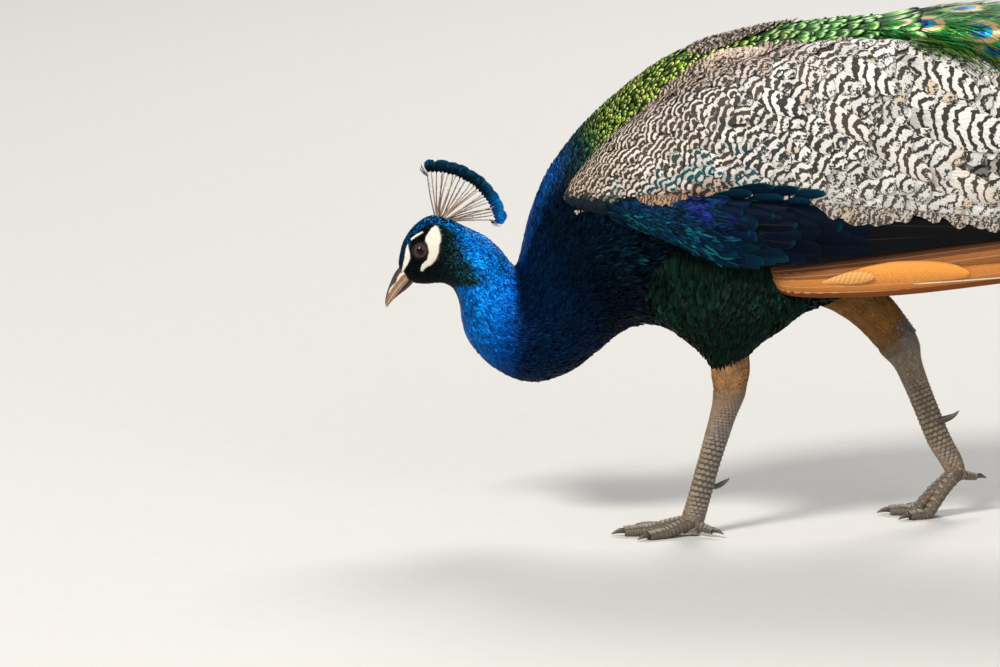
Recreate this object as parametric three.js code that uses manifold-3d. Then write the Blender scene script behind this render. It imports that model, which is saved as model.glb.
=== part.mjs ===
// A life-size peacock, walking with its neck drawn back and its head lowered to feed.
// Millimetres, +Z up. The bird faces -X and its left side faces -Y. The finished group is
// shifted so that its origin is at the bottom centre of its box.
import * as THREE from "three";
import { mergeVertices } from "three/addons/utils/BufferGeometryUtils.js";
import Module from "manifold-3d";

const wasm = await Module();
wasm.setup();

// ---------------------------------------------------------------- driving sizes
const GAP = 0.35; // clearance between neighbouring pieces
const EYE_RADIUS = 9;
const EYE = { x: -278.5, z: 281.5, y: 10.5 }; // centre of the left eye at -y, of the right at +y
const LEFT_LEG_Y = -50;
const RIGHT_LEG_Y = 46;
// The crest's feathers fan from (x, z), from the angle front to the angle back above the +X line.
const CREST = { x: -256, z: 314, root: 15, shaft: 43.5, tip: 7.6, count: 11, front: 1.86, back: -0.14 };

// Rows of outline stations: [ax, az, bx, bz, halfWidth, lean, y]. a and b are the two ends of a
// section in side view, halfWidth is its sideways reach, lean above 0 moves the widest place
// towards a, and y is the sideways place of the section's middle.
const BODY = [
  [-301.5, 262, -287, 247, 6.5, 0, 0], // bill base
  [-300.5, 274, -280.5, 246.2, 11.5, 0.02, 0],
  [-296, 290, -272, 246, 14.8, 0.08, 0], // brow and lores
  [-285, 305.5, -263, 246.8, 17.2, 0.1, 0], // eyes
  [-269, 315, -254.5, 246, 18.6, 0.1, 0], // crown
  [-251, 311.5, -246, 240, 19.8, 0.06, 0], // ear coverts
  [-233, 303, -240.5, 226, 21.5, 0, 0],
  [-213.5, 293, -238, 208, 25, 0, 0],
  [-198.5, 279, -230.5, 187.5, 29.5, -0.04, 0],
  [-189.5, 267.5, -206, 161.5, 35, -0.08, 0], // bottom of the neck's bend
  [-184, 265, -170, 147, 39.5, -0.1, 0],
  [-179, 281, -133, 156, 44, -0.1, 0],
  [-171, 315, -104, 177, 49, -0.08, 0],
  [-155, 355, -80, 197, 55, -0.04, 0],
  [-127, 396, -60, 205, 62, 0.02, 0], // root of the neck
  [-86, 437, -30, 204, 69, 0.06, 0], // shoulders
  [-30, 477, 16, 202, 76, 0.08, 0],
  [40, 500, 66, 206, 80, 0.08, 0],
  [115, 512, 120, 224, 81, 0.05, 0],
  [190, 516, 182, 254, 76, 0, 0],
  [262, 506, 250, 296, 65, 0, 0],
  [325, 480, 312, 342, 48, 0, 0],
  [372, 442, 362, 384, 27, 0, 0], // parson's nose
];
const BILL_UPPER = [
  [-298, 264.5, -284, 253, 7.2, 0, 0],
  [-303.6, 258.6, -287.5, 251.5, 6.6, 0.1, 0],
  [-308, 250, -292.5, 246.3, 5.6, 0.1, 0],
  [-311.3, 241.4, -298.5, 239.4, 4.7, 0.05, 0],
  [-313.6, 233.4, -305, 231.6, 3.5, 0, 0],
  [-314.4, 226.8, -310.3, 225.6, 1.9, 0, 0],
  [-313.4, 222.4, -312.6, 222.2, 0.4, 0, 0],
];
const BILL_LOWER = [
  [-285, 253.5, -281.5, 247, 6.2, 0, 0],
  [-289.5, 249, -284.9, 243.2, 5.7, 0, 0],
  [-295, 242.7, -290.6, 237.8, 4.9, 0, 0],
  [-301.2, 235, -298.4, 231.6, 3.9, 0, 0],
  [-306.6, 228.6, -305, 226.3, 2.5, 0, 0],
  [-309.6, 224.9, -309.2, 224.3, 0.6, 0, 0],
];
// The wing's shell of scapulars and coverts: a is its upper edge, b its lower edge.
const WING = [
  [-138, 345, -136, 335, 4, 0, 50],
  [-118, 374, -110, 325, 25, 0, 48],
  [-76, 416, -62, 316, 40, 0.1, 48],
  [0, 466, 8, 308, 47, 0.18, 50],
  [100, 496, 100, 292, 47, 0.2, 50],
  [200, 500, 200, 276, 44, 0.15, 48],
  [290, 486, 290, 276, 37, 0.1, 43],
  [360, 454, 362, 290, 26, 0, 38],
  [412, 408, 414, 322, 8, 0, 34],
];
// The dark secondaries and greater coverts that show below the shell.
const SECONDARIES = [
  [-92, 332, -86, 316, 5, 0, 74],
  [-56, 345, -42, 288, 13, 0, 81],
  [20, 342, 26, 258, 16, 0, 86],
  [110, 332, 112, 258, 15, 0, 85],
  [220, 328, 221, 268, 12, 0, 80],
  [320, 326, 321, 282, 9, 0, 69],
  [390, 320, 390, 292, 5, 0, 58],
];
// The chestnut primaries, a narrow blade along the lower edge.
const PRIMARIES = [
  [58, 266, 62, 251, 4, 0, 80],
  [86, 280, 86, 243, 7, 0, 82],
  [180, 292, 180, 246, 8, 0, 79],
  [270, 303, 270, 255, 8, 0, 72],
  [350, 312, 350, 266, 7, 0, 63],
  [410, 312, 410, 276, 4.5, 0, 54],
  [438, 304, 438, 288, 1.5, 0, 48],
];
// Tail quills and the train of long coverts over them.
const TAIL = [
  [330, 452, 330, 420, 34, 0, 0],
  [420, 432, 418, 402, 52, 0, 0],
  [540, 410, 536, 388, 72, 0, 0],
  [660, 380, 656, 362, 90, 0, 0],
  [740, 354, 737, 344, 92, 0, 0],
  [776, 340, 775, 335, 78, 0, 0],
];
const TRAIN = [
  [165, 512, 182, 482, 34, 0.3, 0],
  [250, 524, 258, 458, 60, 0.3, 0],
  [350, 526, 352, 440, 78, 0.3, 0],
  [460, 516, 455, 424, 92, 0.3, 0],
  [600, 491, 590, 398, 106, 0.3, 0],
  [760, 448, 745, 358, 120, 0.3, 0],
  [930, 390, 912, 306, 134, 0.3, 0],
  [1110, 315, 1092, 238, 148, 0.25, 0],
  [1290, 222, 1274, 152, 160, 0.2, 0],
  [1450, 128, 1440, 62, 166, 0.1, 0],
  [1575, 58, 1570, -2, 160, 0, 0],
  [1665, 24, 1664, -4, 128, 0, 0],
  [1712, 12, 1712, -2, 78, 0, 0],
  [1730, 7, 1730, -2, 26, 0, 0],
];
// Legs: a is the front outline and b the back outline, written for the leg's own y.
const THIGH_LEFT = [
  [-62, 300, 118, 300, 40, 0, -34],
  [-52, 226, 108, 238, 38, 0, -44],
  [-26, 205, 86, 214, 31, 0, -49],
  [-3, 187, 60, 196, 24, 0, -50],
  [9, 172, 46, 182, 17, 0, -50],
];
const SHANK_LEFT = [
  [10, 176, 47, 182, 15.5, 0, LEFT_LEG_Y],
  [10, 164, 47.5, 166, 14.5, 0, LEFT_LEG_Y],
  [12, 150, 45, 152, 13, 0, LEFT_LEG_Y],
];
const TARSUS_LEFT = [
  [12.2, 150, 44.8, 152, 12.8, 0, LEFT_LEG_Y],
  [11.5, 138, 42, 138, 12.3, 0, LEFT_LEG_Y],
  [8.5, 122, 34, 118, 9.6, 0, LEFT_LEG_Y],
  [4, 104, 27.5, 98, 8, 0, LEFT_LEG_Y],
  [-4, 74, 18, 67, 7.4, 0, LEFT_LEG_Y],
  [-13, 40, 9.5, 35, 7.8, 0, LEFT_LEG_Y],
  [-20, 21, 6, 14, 9, 0, LEFT_LEG_Y],
];
const THIGH_RIGHT = [
  [-40, 300, 130, 330, 38, 0, 34],
  [-20, 262, 150, 296, 38, 0, 42],
  [20, 236, 160, 280, 33, 0, 46],
  [66, 226, 164, 262, 26, 0, 46],
  [100, 218, 170, 248, 19, 0, 46],
];
const SHANK_RIGHT = [
  [105, 222, 166, 246, 17, 0, RIGHT_LEG_Y],
  [135, 211, 178, 239, 16, 0, RIGHT_LEG_Y],
  [160, 194, 197, 220, 14.5, 0, RIGHT_LEG_Y],
  [180, 173, 215, 196, 13.4, 0, RIGHT_LEG_Y],
];
const TARSUS_RIGHT = [
  [180.6, 172, 215.6, 194.8, 13, 0, RIGHT_LEG_Y],
  [188, 163, 223, 178, 12.6, 0, RIGHT_LEG_Y],
  [198, 152, 225, 162, 10.4, 0, RIGHT_LEG_Y],
  [207, 134, 231, 143, 8.3, 0, RIGHT_LEG_Y],
  [219, 106, 242, 115, 7.4, 0, RIGHT_LEG_Y],
  [232, 75, 255, 84, 7.8, 0, RIGHT_LEG_Y],
  [242, 52, 272, 56, 9, 0, RIGHT_LEG_Y],
];

// ---------------------------------------------------------------- colours
const paint = (hex, roughness = 0.6, metalness = 0) =>
  new THREE.MeshStandardMaterial({ color: hex, roughness, metalness });
const BLUE = paint(0x0b4fc4, 0.45);
const NAVY = paint(0x0a2a63, 0.5);
const GREEN_BACK = paint(0x4f7f22, 0.5);
const BARRED = paint(0xb9ab97, 0.75);
const DARK_WING = paint(0x121a24, 0.5);
const CHESTNUT = paint(0xc06a26, 0.6);
const BOTTLE_GREEN = paint(0x0b2a22, 0.6);
const BUFF = paint(0x8a7350, 0.8);
const HORN = paint(0x8d7560, 0.5);
const SCALES = paint(0x8d8270, 0.7);
const CLAW = paint(0x3a322b, 0.45);
const EYE_BROWN = paint(0x2b1710, 0.15);
const CREST_BLUE = paint(0x0d4a78, 0.5);
const TRAIN_GREEN = paint(0x2f6b2c, 0.5);
const TAIL_BROWN = paint(0x5a4a3c, 0.75);

// ---------------------------------------------------------------- shape tools
// Catmull-Rom value of every column of rows at t, which runs from 0 to 1 over the rows.
function column(rows, t) {
  const place = t * (rows.length - 1);
  const i = Math.min(Math.floor(place), rows.length - 2);
  const f = place - i;
  const p0 = rows[Math.max(i - 1, 0)];
  const p3 = rows[Math.min(i + 2, rows.length - 1)];
  return rows[i].map((p1, k) => {
    const p2 = rows[i + 1][k];
    const bend = 2 * p0[k] - 5 * p1 + 4 * p2 - p3[k];
    const twist = 3 * p1 - p0[k] - 3 * p2 + p3[k];
    return p1 + 0.5 * f * (p2 - p0[k] + f * (bend + f * twist));
  });
}

// Closed surface through rings of points, each ring an array of the same length.
function skinOver(rings) {
  const sides = rings[0].length;
  const points = rings.flat();
  const ends = [rings[0], rings[rings.length - 1]].map((ring) =>
    ring.reduce((sum, p) => sum.add(p), new THREE.Vector3()).divideScalar(sides),
  );
  const first = points.push(ends[0]) - 1;
  const last = points.push(ends[1]) - 1;
  const faces = [];
  for (let s = 0; s < sides; s++) {
    const n = (s + 1) % sides;
    faces.push(first, n, s);
    const base = (rings.length - 1) * sides;
    faces.push(last, base + s, base + n);
    for (let r = 0; r < rings.length - 1; r++) {
      const [a, b] = [r * sides, (r + 1) * sides];
      faces.push(a + s, a + n, b + n, a + s, b + n, b + s);
    }
  }
  return new THREE.BufferGeometry().setFromPoints(points).setIndex(faces);
}

// A manifold solid of a closed geometry, whichever way round its faces run.
function solid(geometry) {
  const g = geometry.clone();
  g.deleteAttribute("normal");
  g.deleteAttribute("uv");
  const merged = mergeVertices(g, 1e-4);
  const triVerts = new Uint32Array(merged.index.array);
  const build = () =>
    new wasm.Manifold(
      new wasm.Mesh({
        numProp: 3,
        vertProperties: new Float32Array(merged.attributes.position.array),
        triVerts,
      }),
    );
  const made = build();
  if (made.volume() >= 0) return made;
  for (let i = 0; i < triVerts.length; i += 3)
    [triVerts[i + 1], triVerts[i + 2]] = [triVerts[i + 2], triVerts[i + 1]];
  return build();
}

// A solid lofted through outline rows. grow swells every section by that much.
function loft(rows, { rings = 2 * rows.length, sides = 16, side = 1, grow = 0 } = {}) {
  const made = [];
  for (let r = 0; r < rings; r++) {
    const [ax, az, bx, bz, w, lean, y] = column(rows, r / (rings - 1));
    const half = new THREE.Vector3((ax - bx) / 2, 0, (az - bz) / 2);
    half.setLength(half.length() + grow);
    const middle = new THREE.Vector3((ax + bx) / 2, side * y, (az + bz) / 2);
    const ring = [];
    for (let s = 0; s < sides; s++) {
      const turn = (2 * Math.PI * s) / sides;
      const c = Math.cos(turn);
      const reach = Math.sin(turn) * (w + grow) * (1 + lean * c);
      ring.push(new THREE.Vector3(0, reach, 0).addScaledVector(half, c).add(middle));
    }
    made.push(ring);
  }
  return solid(skinOver(made));
}

// A round limb along points [x, y, z, radius], flattened sideways by the share flat. side is the
// sideways direction where the limb stays in one upright plane.
function limb(points, { sides = 8, rings = 2 * points.length, flat = 1, grow = 0, side } = {}) {
  const made = [];
  const up = new THREE.Vector3(0, 0, 1);
  for (let r = 0; r < rings; r++) {
    const t = r / (rings - 1);
    const [x, y, z, radius] = column(points, t);
    const ahead = column(points, Math.min(t + 0.01, 1));
    const behind = column(points, Math.max(t - 0.01, 0));
    const along = new THREE.Vector3(...[0, 1, 2].map((k) => ahead[k] - behind[k])).normalize();
    const across = side ?? new THREE.Vector3().crossVectors(along, up).normalize();
    const over = new THREE.Vector3().crossVectors(across, along);
    const ring = [];
    for (let s = 0; s < sides; s++) {
      const turn = (2 * Math.PI * (s + 0.5)) / sides;
      ring.push(
        new THREE.Vector3(x, y, z)
          .addScaledVector(across, Math.cos(turn) * (radius + grow) * flat)
          .addScaledVector(over, Math.sin(turn) * (radius + grow)),
      );
    }
    made.push(ring);
  }
  return solid(skinOver(made));
}

// A thin slab, square in plan, whose middle is at (x, z) and whose plane leans by turn about Y.
function slab(x, z, turn, height, width) {
  const box = new THREE.BoxGeometry(GAP, width, height);
  box.rotateY(turn).translate(x, 0, z);
  return solid(box);
}

const sphere = (x, y, z, radius, wide = 12, high = 8) =>
  solid(new THREE.SphereGeometry(radius, wide, high).rotateX(Math.PI / 2).translate(x, y, z));

const centreX = (piece) => {
  const box = piece.boundingBox();
  return (box.min[0] + box.max[0]) / 2;
};

// The largest of the bodies that a cut has left.
const largest = (piece) =>
  piece.decompose().sort((a, b) => b.volume() - a.volume())[0];

const union = (pieces) => pieces.reduce((all, one) => all.add(one));

const cut = (piece, ...others) =>
  largest(others.reduce((rest, other) => rest.subtract(other), piece));

const bird = new THREE.Group();

function add(name, piece, material) {
  const m = piece.getMesh();
  const points = new Float32Array(m.numVert * 3);
  for (let i = 0; i < m.numVert; i++)
    points.set(m.vertProperties.subarray(i * m.numProp, i * m.numProp + 3), i * 3);
  const g = new THREE.BufferGeometry();
  g.setAttribute("position", new THREE.BufferAttribute(points, 3));
  g.setIndex(new THREE.BufferAttribute(new Uint32Array(m.triVerts), 1));
  g.computeVertexNormals();
  const mesh = new THREE.Mesh(g, material);
  mesh.name = name;
  bird.add(mesh);
}

// ---------------------------------------------------------------- head, neck and trunk
const bodyShape = { rings: 34, sides: 16 };
const eyeball = (side, grow = 0) => sphere(EYE.x, side * EYE.y, EYE.z, EYE_RADIUS + grow);
const eyeballs = [-1, 1].map((side) => eyeball(side));
const sockets = [-1, 1].map((side) => eyeball(side, GAP));
const upperShape = { rings: 10, sides: 10 };
const lowerShape = { rings: 7, sides: 8 };
const billUpper = loft(BILL_UPPER, upperShape);
const grownUpper = loft(BILL_UPPER, { ...upperShape, grow: GAP });
const billLower = cut(loft(BILL_LOWER, lowerShape), grownUpper);
const bills = grownUpper.add(loft(BILL_LOWER, { ...lowerShape, grow: GAP }));
const whole = largest(loft(BODY, bodyShape));
const grownBody = loft(BODY, { ...bodyShape, grow: GAP });
const seams = [
  slab(-248, 276, -0.07, 104, 120), // head and upper neck
  slab(-198, 213, 0.155, 124, 140), // the two halves of the neck's bend
  slab(-93, 300, -0.34, 260, 220), // neck and trunk
];
const parts = whole
  .subtract(union([...sockets, bills, ...seams]))
  .decompose()
  .filter((piece) => piece.volume() > 1000)
  .sort((a, b) => centreX(a) - centreX(b));
const bodyNodes = [
  ["head", BLUE],
  ["neck_upper", BLUE],
  ["neck_lower", NAVY],
  ["trunk", GREEN_BACK],
];
bodyNodes.forEach(([name, colour], i) => add(name, parts[i], colour));
add("bill_upper", billUpper, HORN);
add("bill_lower", billLower, HORN);
add("eye_left", eyeballs[0], EYE_BROWN);
add("eye_right", eyeballs[1], EYE_BROWN);

// ---------------------------------------------------------------- crest
// Bare shafts in a fan from the crown, and the flat tips, which overlap in one scalloped band.
// share runs from 0 at the front feather to 1 at the hindmost.
function crestPoint(share, reach, radius) {
  const turn = THREE.MathUtils.lerp(CREST.front, CREST.back, share);
  const spread = CREST.root * (share - 0.5);
  const root = new THREE.Vector2(CREST.x + spread, CREST.z - 0.3 * spread);
  const tip = root.add(new THREE.Vector2(reach, 0).rotateAround(new THREE.Vector2(), turn));
  return [tip.x, 0, tip.y, radius];
}
const sideways = new THREE.Vector3(0, 1, 0);
const shafts = Array.from({ length: CREST.count }, (_, i) => {
  const share = i / (CREST.count - 1);
  const path = [crestPoint(share, -4, 0.55), crestPoint(share, CREST.shaft, 0.55)];
  return limb(path, { sides: 4, rings: 2, side: sideways });
});
const scallops = Array.from({ length: 2 * CREST.count - 1 }, (_, i) =>
  crestPoint(i / (2 * CREST.count - 2), CREST.shaft + 6, CREST.tip * (i % 2 ? 0.82 : 1)),
);
const tips = limb(scallops, { sides: 6, rings: scallops.length, flat: 0.4, side: sideways });
const crest = union([...shafts, tips]);
add("crest", cut(crest, grownBody), CREST_BLUE);

// ---------------------------------------------------------------- wings
const wingRows = [WING, SECONDARIES, PRIMARIES];
const shell = (rows, side, grow = 0) =>
  loft(rows, { side, grow, rings: 2 * rows.length - 4, sides: rows === WING ? 10 : 8 });
const wingShells = [];
for (const [name, side] of [["left", -1], ["right", 1]]) {
  const [wing, secondaries, primaries] = wingRows.map((rows) => shell(rows, side));
  const grown = wingRows.map((rows) => shell(rows, side, GAP));
  add(`primaries_${name}`, cut(primaries, grownBody), CHESTNUT);
  add(`secondaries_${name}`, cut(secondaries, grownBody, grown[2]), DARK_WING);
  add(`wing_${name}`, cut(wing, grownBody, grown[1], grown[2]), BARRED);
  wingShells.push(...grown);
}

// ---------------------------------------------------------------- tail and train
const floorBlock = solid(new THREE.BoxGeometry(3000, 1200, 100).translate(600, 0, -50));
const tailShape = { rings: 7, sides: 10 };
const trainShape = { rings: 22, sides: 12 };
add("tail", cut(loft(TAIL, tailShape), grownBody, ...wingShells), TAIL_BROWN);
const train = cut(
  loft(TRAIN, trainShape),
  grownBody,
  ...wingShells,
  loft(TAIL, { ...tailShape, grow: GAP }),
  floorBlock,
);
const trainSeams = [slab(640, 440, 0.3, 300, 420), slab(1150, 260, 0.45, 320, 500)];
train
  .subtract(union(trainSeams))
  .decompose()
  .filter((piece) => piece.volume() > 1000)
  .sort((a, b) => centreX(a) - centreX(b))
  .forEach((piece, i) => add(["train_base", "train_middle", "train_end"][i], piece, TRAIN_GREEN));

// ---------------------------------------------------------------- legs and feet
// Toes leave the joint (x, y, z) at angles from straight ahead. Each has its length and radius.
const TOES = [
  { name: "inner", turn: 0.5, length: 48, radius: 6.2 },
  { name: "middle", turn: 0.06, length: 66, radius: 6.8 },
  { name: "outer", turn: -0.42, length: 52, radius: 6.2 },
  { name: "hind", turn: Math.PI - 0.5, length: 22, radius: 5.2 },
];
const SOLE = 1.2; // how far a toe's round underside is cut off to stand flat

function leg(name, sideSign, thigh, shank, tarsus, joint, spur) {
  const tarsusShape = { rings: 9, sides: 10 };
  const thighShape = { rings: 7, sides: 12 };
  const shankShape = { rings: 4, sides: 10 };
  const grownThigh = loft(thigh, { ...thighShape, grow: GAP });
  const grownShank = loft(shank, { ...shankShape, grow: GAP });
  const grownTarsus = loft(tarsus, { ...tarsusShape, grow: GAP });
  add(
    `thigh_${name}`,
    cut(loft(thigh, thighShape), grownBody, ...wingShells),
    BOTTLE_GREEN,
  );
  add(`shank_${name}`, cut(loft(shank, shankShape), grownThigh, grownBody), BUFF);
  add(`tarsus_${name}`, cut(loft(tarsus, tarsusShape), grownShank), SCALES);

  const lift = joint.z - 8; // how high the joint stands above where the toes lie
  const toe = (t, grow = 0) => {
    const dir = [-Math.cos(t.turn), sideSign * Math.sin(t.turn)];
    const hind = t.name === "hind";
    const at = (share, z, r) => [
      joint.x + dir[0] * t.length * share,
      joint.y + dir[1] * t.length * share,
      z,
      r,
    ];
    const low = t.radius - SOLE;
    const path = hind
      ? [at(0, joint.z - 1, t.radius), at(0.6, joint.z - 4, t.radius * 0.9), at(1, joint.z - 6, t.radius * 0.7)]
      : [
          at(0, joint.z, t.radius * 1.25),
          at(0.3, low + lift * 0.55 + 2, t.radius * 1.1),
          at(0.62, low, t.radius),
          at(0.85, low - 0.4, t.radius * 0.88),
          at(1, low - 0.9, t.radius * 0.78),
        ];
    return limb(path, { sides: 6, rings: hind ? 3 : 5, grow });
  };
  const claw = (t) => {
    const dir = [-Math.cos(t.turn), sideSign * Math.sin(t.turn)];
    const base = t.name === "hind" ? joint.z - 6 : t.radius - SOLE - 0.9;
    const at = (reach, z, r) => [
      joint.x + dir[0] * (t.length + reach),
      joint.y + dir[1] * (t.length + reach),
      z,
      r,
    ];
    return limb(
      [at(-2.5, base + 0.8, 3.1), at(5, base + 0.9, 2.7), at(10, base - 0.6, 1.7), at(14, base - 2.4, 0.5)],
      { sides: 5, rings: 4, flat: 0.75 },
    );
  };
  const heel = sphere(joint.x, joint.y, joint.z, 9.4, 8, 5);
  const foot = cut(union([heel, ...TOES.map((t) => toe(t))]), grownTarsus, floorBlock);
  add(`foot_${name}`, foot, SCALES);
  const grownFoot = union(TOES.map((t) => toe(t, GAP)));
  for (const t of TOES)
    add(`claw_${t.name}_${name}`, cut(claw(t), grownFoot, floorBlock), CLAW);
  add(`spur_${name}`, cut(limb(spur, { sides: 5, rings: 4 }), grownTarsus), CLAW);
}
leg(
  "left",
  -1,
  THIGH_LEFT,
  SHANK_LEFT,
  TARSUS_LEFT,
  { x: -9, y: LEFT_LEG_Y, z: 13 },
  [
    [6, LEFT_LEG_Y + 2, 50, 4.2],
    [16, LEFT_LEG_Y + 7, 49, 3.6],
    [24, LEFT_LEG_Y + 10, 52, 2.2],
    [29, LEFT_LEG_Y + 11, 56, 0.5],
  ],
);
leg(
  "right",
  1,
  THIGH_RIGHT,
  SHANK_RIGHT,
  TARSUS_RIGHT,
  { x: 262, y: RIGHT_LEG_Y, z: 44 },
  [
    [238, RIGHT_LEG_Y - 2, 97, 4.2],
    [250, RIGHT_LEG_Y - 6, 101, 3.6],
    [258, RIGHT_LEG_Y - 8, 105, 2.2],
    [263, RIGHT_LEG_Y - 9, 110, 0.5],
  ],
);

// ---------------------------------------------------------------- origin
const bounds = new THREE.Box3().setFromObject(bird);
const middle = bounds.getCenter(new THREE.Vector3());
bird.position.set(-middle.x, -middle.y, -bounds.min.z);

export default bird;
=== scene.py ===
from math import atan2, ceil, cos, hypot, pi, radians, sin, sqrt

import bpy
import numpy as np
from numpy.linalg import norm
from numpy.random import default_rng
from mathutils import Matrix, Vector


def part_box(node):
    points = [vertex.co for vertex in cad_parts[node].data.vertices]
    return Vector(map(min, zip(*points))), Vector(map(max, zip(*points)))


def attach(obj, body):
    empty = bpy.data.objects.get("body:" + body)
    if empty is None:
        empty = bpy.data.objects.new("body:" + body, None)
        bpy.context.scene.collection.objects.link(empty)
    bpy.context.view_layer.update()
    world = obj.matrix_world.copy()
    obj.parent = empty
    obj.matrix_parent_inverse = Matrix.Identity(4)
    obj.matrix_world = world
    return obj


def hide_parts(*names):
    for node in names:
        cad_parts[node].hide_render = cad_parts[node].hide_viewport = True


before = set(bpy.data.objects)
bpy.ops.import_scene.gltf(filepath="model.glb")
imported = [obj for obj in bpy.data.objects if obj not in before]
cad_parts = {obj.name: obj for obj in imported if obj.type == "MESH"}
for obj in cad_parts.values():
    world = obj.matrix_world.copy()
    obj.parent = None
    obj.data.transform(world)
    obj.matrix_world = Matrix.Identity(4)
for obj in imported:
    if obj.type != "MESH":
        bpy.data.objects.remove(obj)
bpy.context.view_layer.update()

# A life-size peacock. Every shape is worked out in millimetres, with the bird facing -X and its
# left side towards -Y, and moved into the part's own frame when its mesh is made.
eyeX, eyeY, eyeZ = -278.5, 10.5, 281.5  # centre of the right eye; the left one is at -eyeY
eyeLow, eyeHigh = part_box("eye_left")
shift = np.array([eyeX, -eyeY, eyeZ]) - np.array((eyeLow + eyeHigh) / 2) * 1000
sideSigns = {"left": -1, "right": 1}
fullTurn = (-pi, pi)


def toScene(points):
    return (np.asarray(points) - shift) / 1000


# Outline stations. Each row is [ax, az, bx, bz, half width, lean, y]: a and b are the ends of a section in side
# view, lean moves its widest place towards a, and y is where its middle is.
bodyRows = [[-301.5, 262, -287, 247, 6.5, 0, 0], [-300.5, 274, -280.5, 246.2, 11.5, 0.02, 0],
    [-296, 290, -272, 246, 14.8, 0.08, 0], [-285, 305.5, -263, 246.8, 17.2, 0.1, 0],
    [-269, 315, -254.5, 246, 18.6, 0.1, 0], [-251, 311.5, -246, 240, 19.8, 0.06, 0],
    [-233, 303, -240.5, 226, 21.5, 0, 0], [-213.5, 293, -238, 208, 25, 0, 0],
    [-198.5, 279, -230.5, 187.5, 29.5, -0.04, 0], [-189.5, 267.5, -206, 161.5, 35, -0.08, 0],
    [-184, 265, -170, 147, 39.5, -0.1, 0], [-179, 281, -133, 156, 44, -0.1, 0],
    [-171, 315, -104, 177, 49, -0.08, 0], [-155, 355, -80, 197, 55, -0.04, 0], [-127, 396, -60, 205, 62, 0.02, 0],
    [-86, 437, -30, 204, 69, 0.06, 0], [-30, 477, 16, 202, 76, 0.08, 0], [40, 500, 66, 206, 80, 0.08, 0],
    [115, 512, 120, 224, 81, 0.05, 0], [190, 516, 182, 254, 76, 0, 0], [262, 506, 250, 296, 65, 0, 0],
    [325, 480, 312, 342, 48, 0, 0], [372, 442, 362, 384, 27, 0, 0]]
wingRows = [[-138, 345, -136, 335, 4, 0, 50], [-118, 374, -110, 325, 25, 0, 48], [-76, 416, -62, 316, 40, 0.1, 48],
    [0, 466, 8, 308, 47, 0.18, 50], [100, 496, 100, 292, 47, 0.2, 50], [200, 500, 200, 276, 44, 0.15, 48],
    [290, 486, 290, 276, 37, 0.1, 43], [360, 454, 362, 290, 26, 0, 38], [412, 408, 414, 322, 8, 0, 34]]
secondaryRows = [[-98, 336, -90, 320, 4, 0, 70], [-56, 347, -40, 304, 12, 0, 80], [20, 346, 28, 277, 16, 0, 86],
    [110, 340, 112, 279, 15, 0, 85], [220, 330, 221, 293, 12, 0, 80], [320, 320, 321, 302, 9, 0, 69],
    [390, 320, 390, 304, 5, 0, 58]]
primaryRows = [[58, 273, 70, 254, 4, 0, 66], [84, 280, 92, 245, 6.5, 0, 78], [180, 292, 180, 246, 8, 0, 78],
    [270, 303, 270, 255, 8, 0, 72], [350, 312, 350, 266, 7, 0, 63], [405, 311, 405, 281, 4.0, 0, 54],
    [446, 300, 446, 294, 1.0, 0, 48]]
tailRows = [[330, 452, 330, 420, 34, 0, 0], [420, 432, 418, 402, 52, 0, 0], [540, 410, 536, 388, 72, 0, 0],
    [660, 380, 656, 362, 90, 0, 0], [740, 354, 737, 344, 92, 0, 0], [776, 340, 775, 335, 78, 0, 0]]
trainRows = [[165, 512, 182, 482, 34, 0.3, 0], [250, 524, 258, 458, 60, 0.3, 0], [350, 526, 352, 440, 78, 0.3, 0],
    [460, 516, 455, 424, 92, 0.3, 0], [600, 491, 590, 398, 106, 0.3, 0], [760, 448, 745, 358, 120, 0.3, 0],
    [930, 390, 912, 306, 134, 0.3, 0], [1110, 315, 1092, 238, 148, 0.25, 0], [1290, 222, 1274, 152, 160, 0.2, 0],
    [1450, 128, 1440, 62, 166, 0.1, 0], [1575, 58, 1570, -2, 160, 0, 0], [1665, 24, 1664, -4, 128, 0, 0],
    [1712, 12, 1712, -2, 78, 0, 0], [1730, 7, 1730, -2, 26, 0, 0]]
upperBillRows = [[-298, 264.5, -284, 253, 7.2, 0, 0], [-303.6, 258.6, -287.5, 251.5, 6.6, 0.1, 0],
    [-308, 250, -292.5, 246.3, 5.6, 0.1, 0], [-311.3, 241.4, -298.5, 239.4, 4.7, 0.05, 0],
    [-313.6, 233.4, -305, 231.6, 3.5, 0, 0], [-314.4, 226.8, -310.3, 225.6, 1.9, 0, 0],
    [-313.4, 222.4, -312.6, 222.2, 0.4, 0, 0]]
lowerBillRows = [[-285, 253.5, -283.2, 250.4, 5.6, 0, 0], [-289.5, 249, -287.2, 246.5, 4.9, 0, 0],
    [-294, 243.9, -291.8, 241.8, 3.9, 0, 0], [-299.6, 238.2, -298.2, 236.8, 2.8, 0, 0],
    [-304, 233.4, -303.3, 232.7, 1.7, 0, 0], [-306.6, 230.2, -306.3, 229.9, 0.5, 0, 0]]
leftLegY, rightLegY = -50, 46
thighRows = {"left": [[-62, 300, 118, 300, 40, 0, -34], [-52, 226, 108, 238, 38, 0, -44],
    [-26, 205, 86, 214, 31, 0, -49], [-3, 187, 60, 196, 24, 0, -50], [9, 172, 46, 182, 17, 0, -50]],
    "right": [[-40, 300, 130, 330, 38, 0, 34], [-20, 262, 150, 296, 38, 0, 42], [20, 236, 160, 280, 33, 0, 46],
    [66, 226, 164, 262, 26, 0, 46], [100, 218, 170, 248, 19, 0, 46]]}
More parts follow.
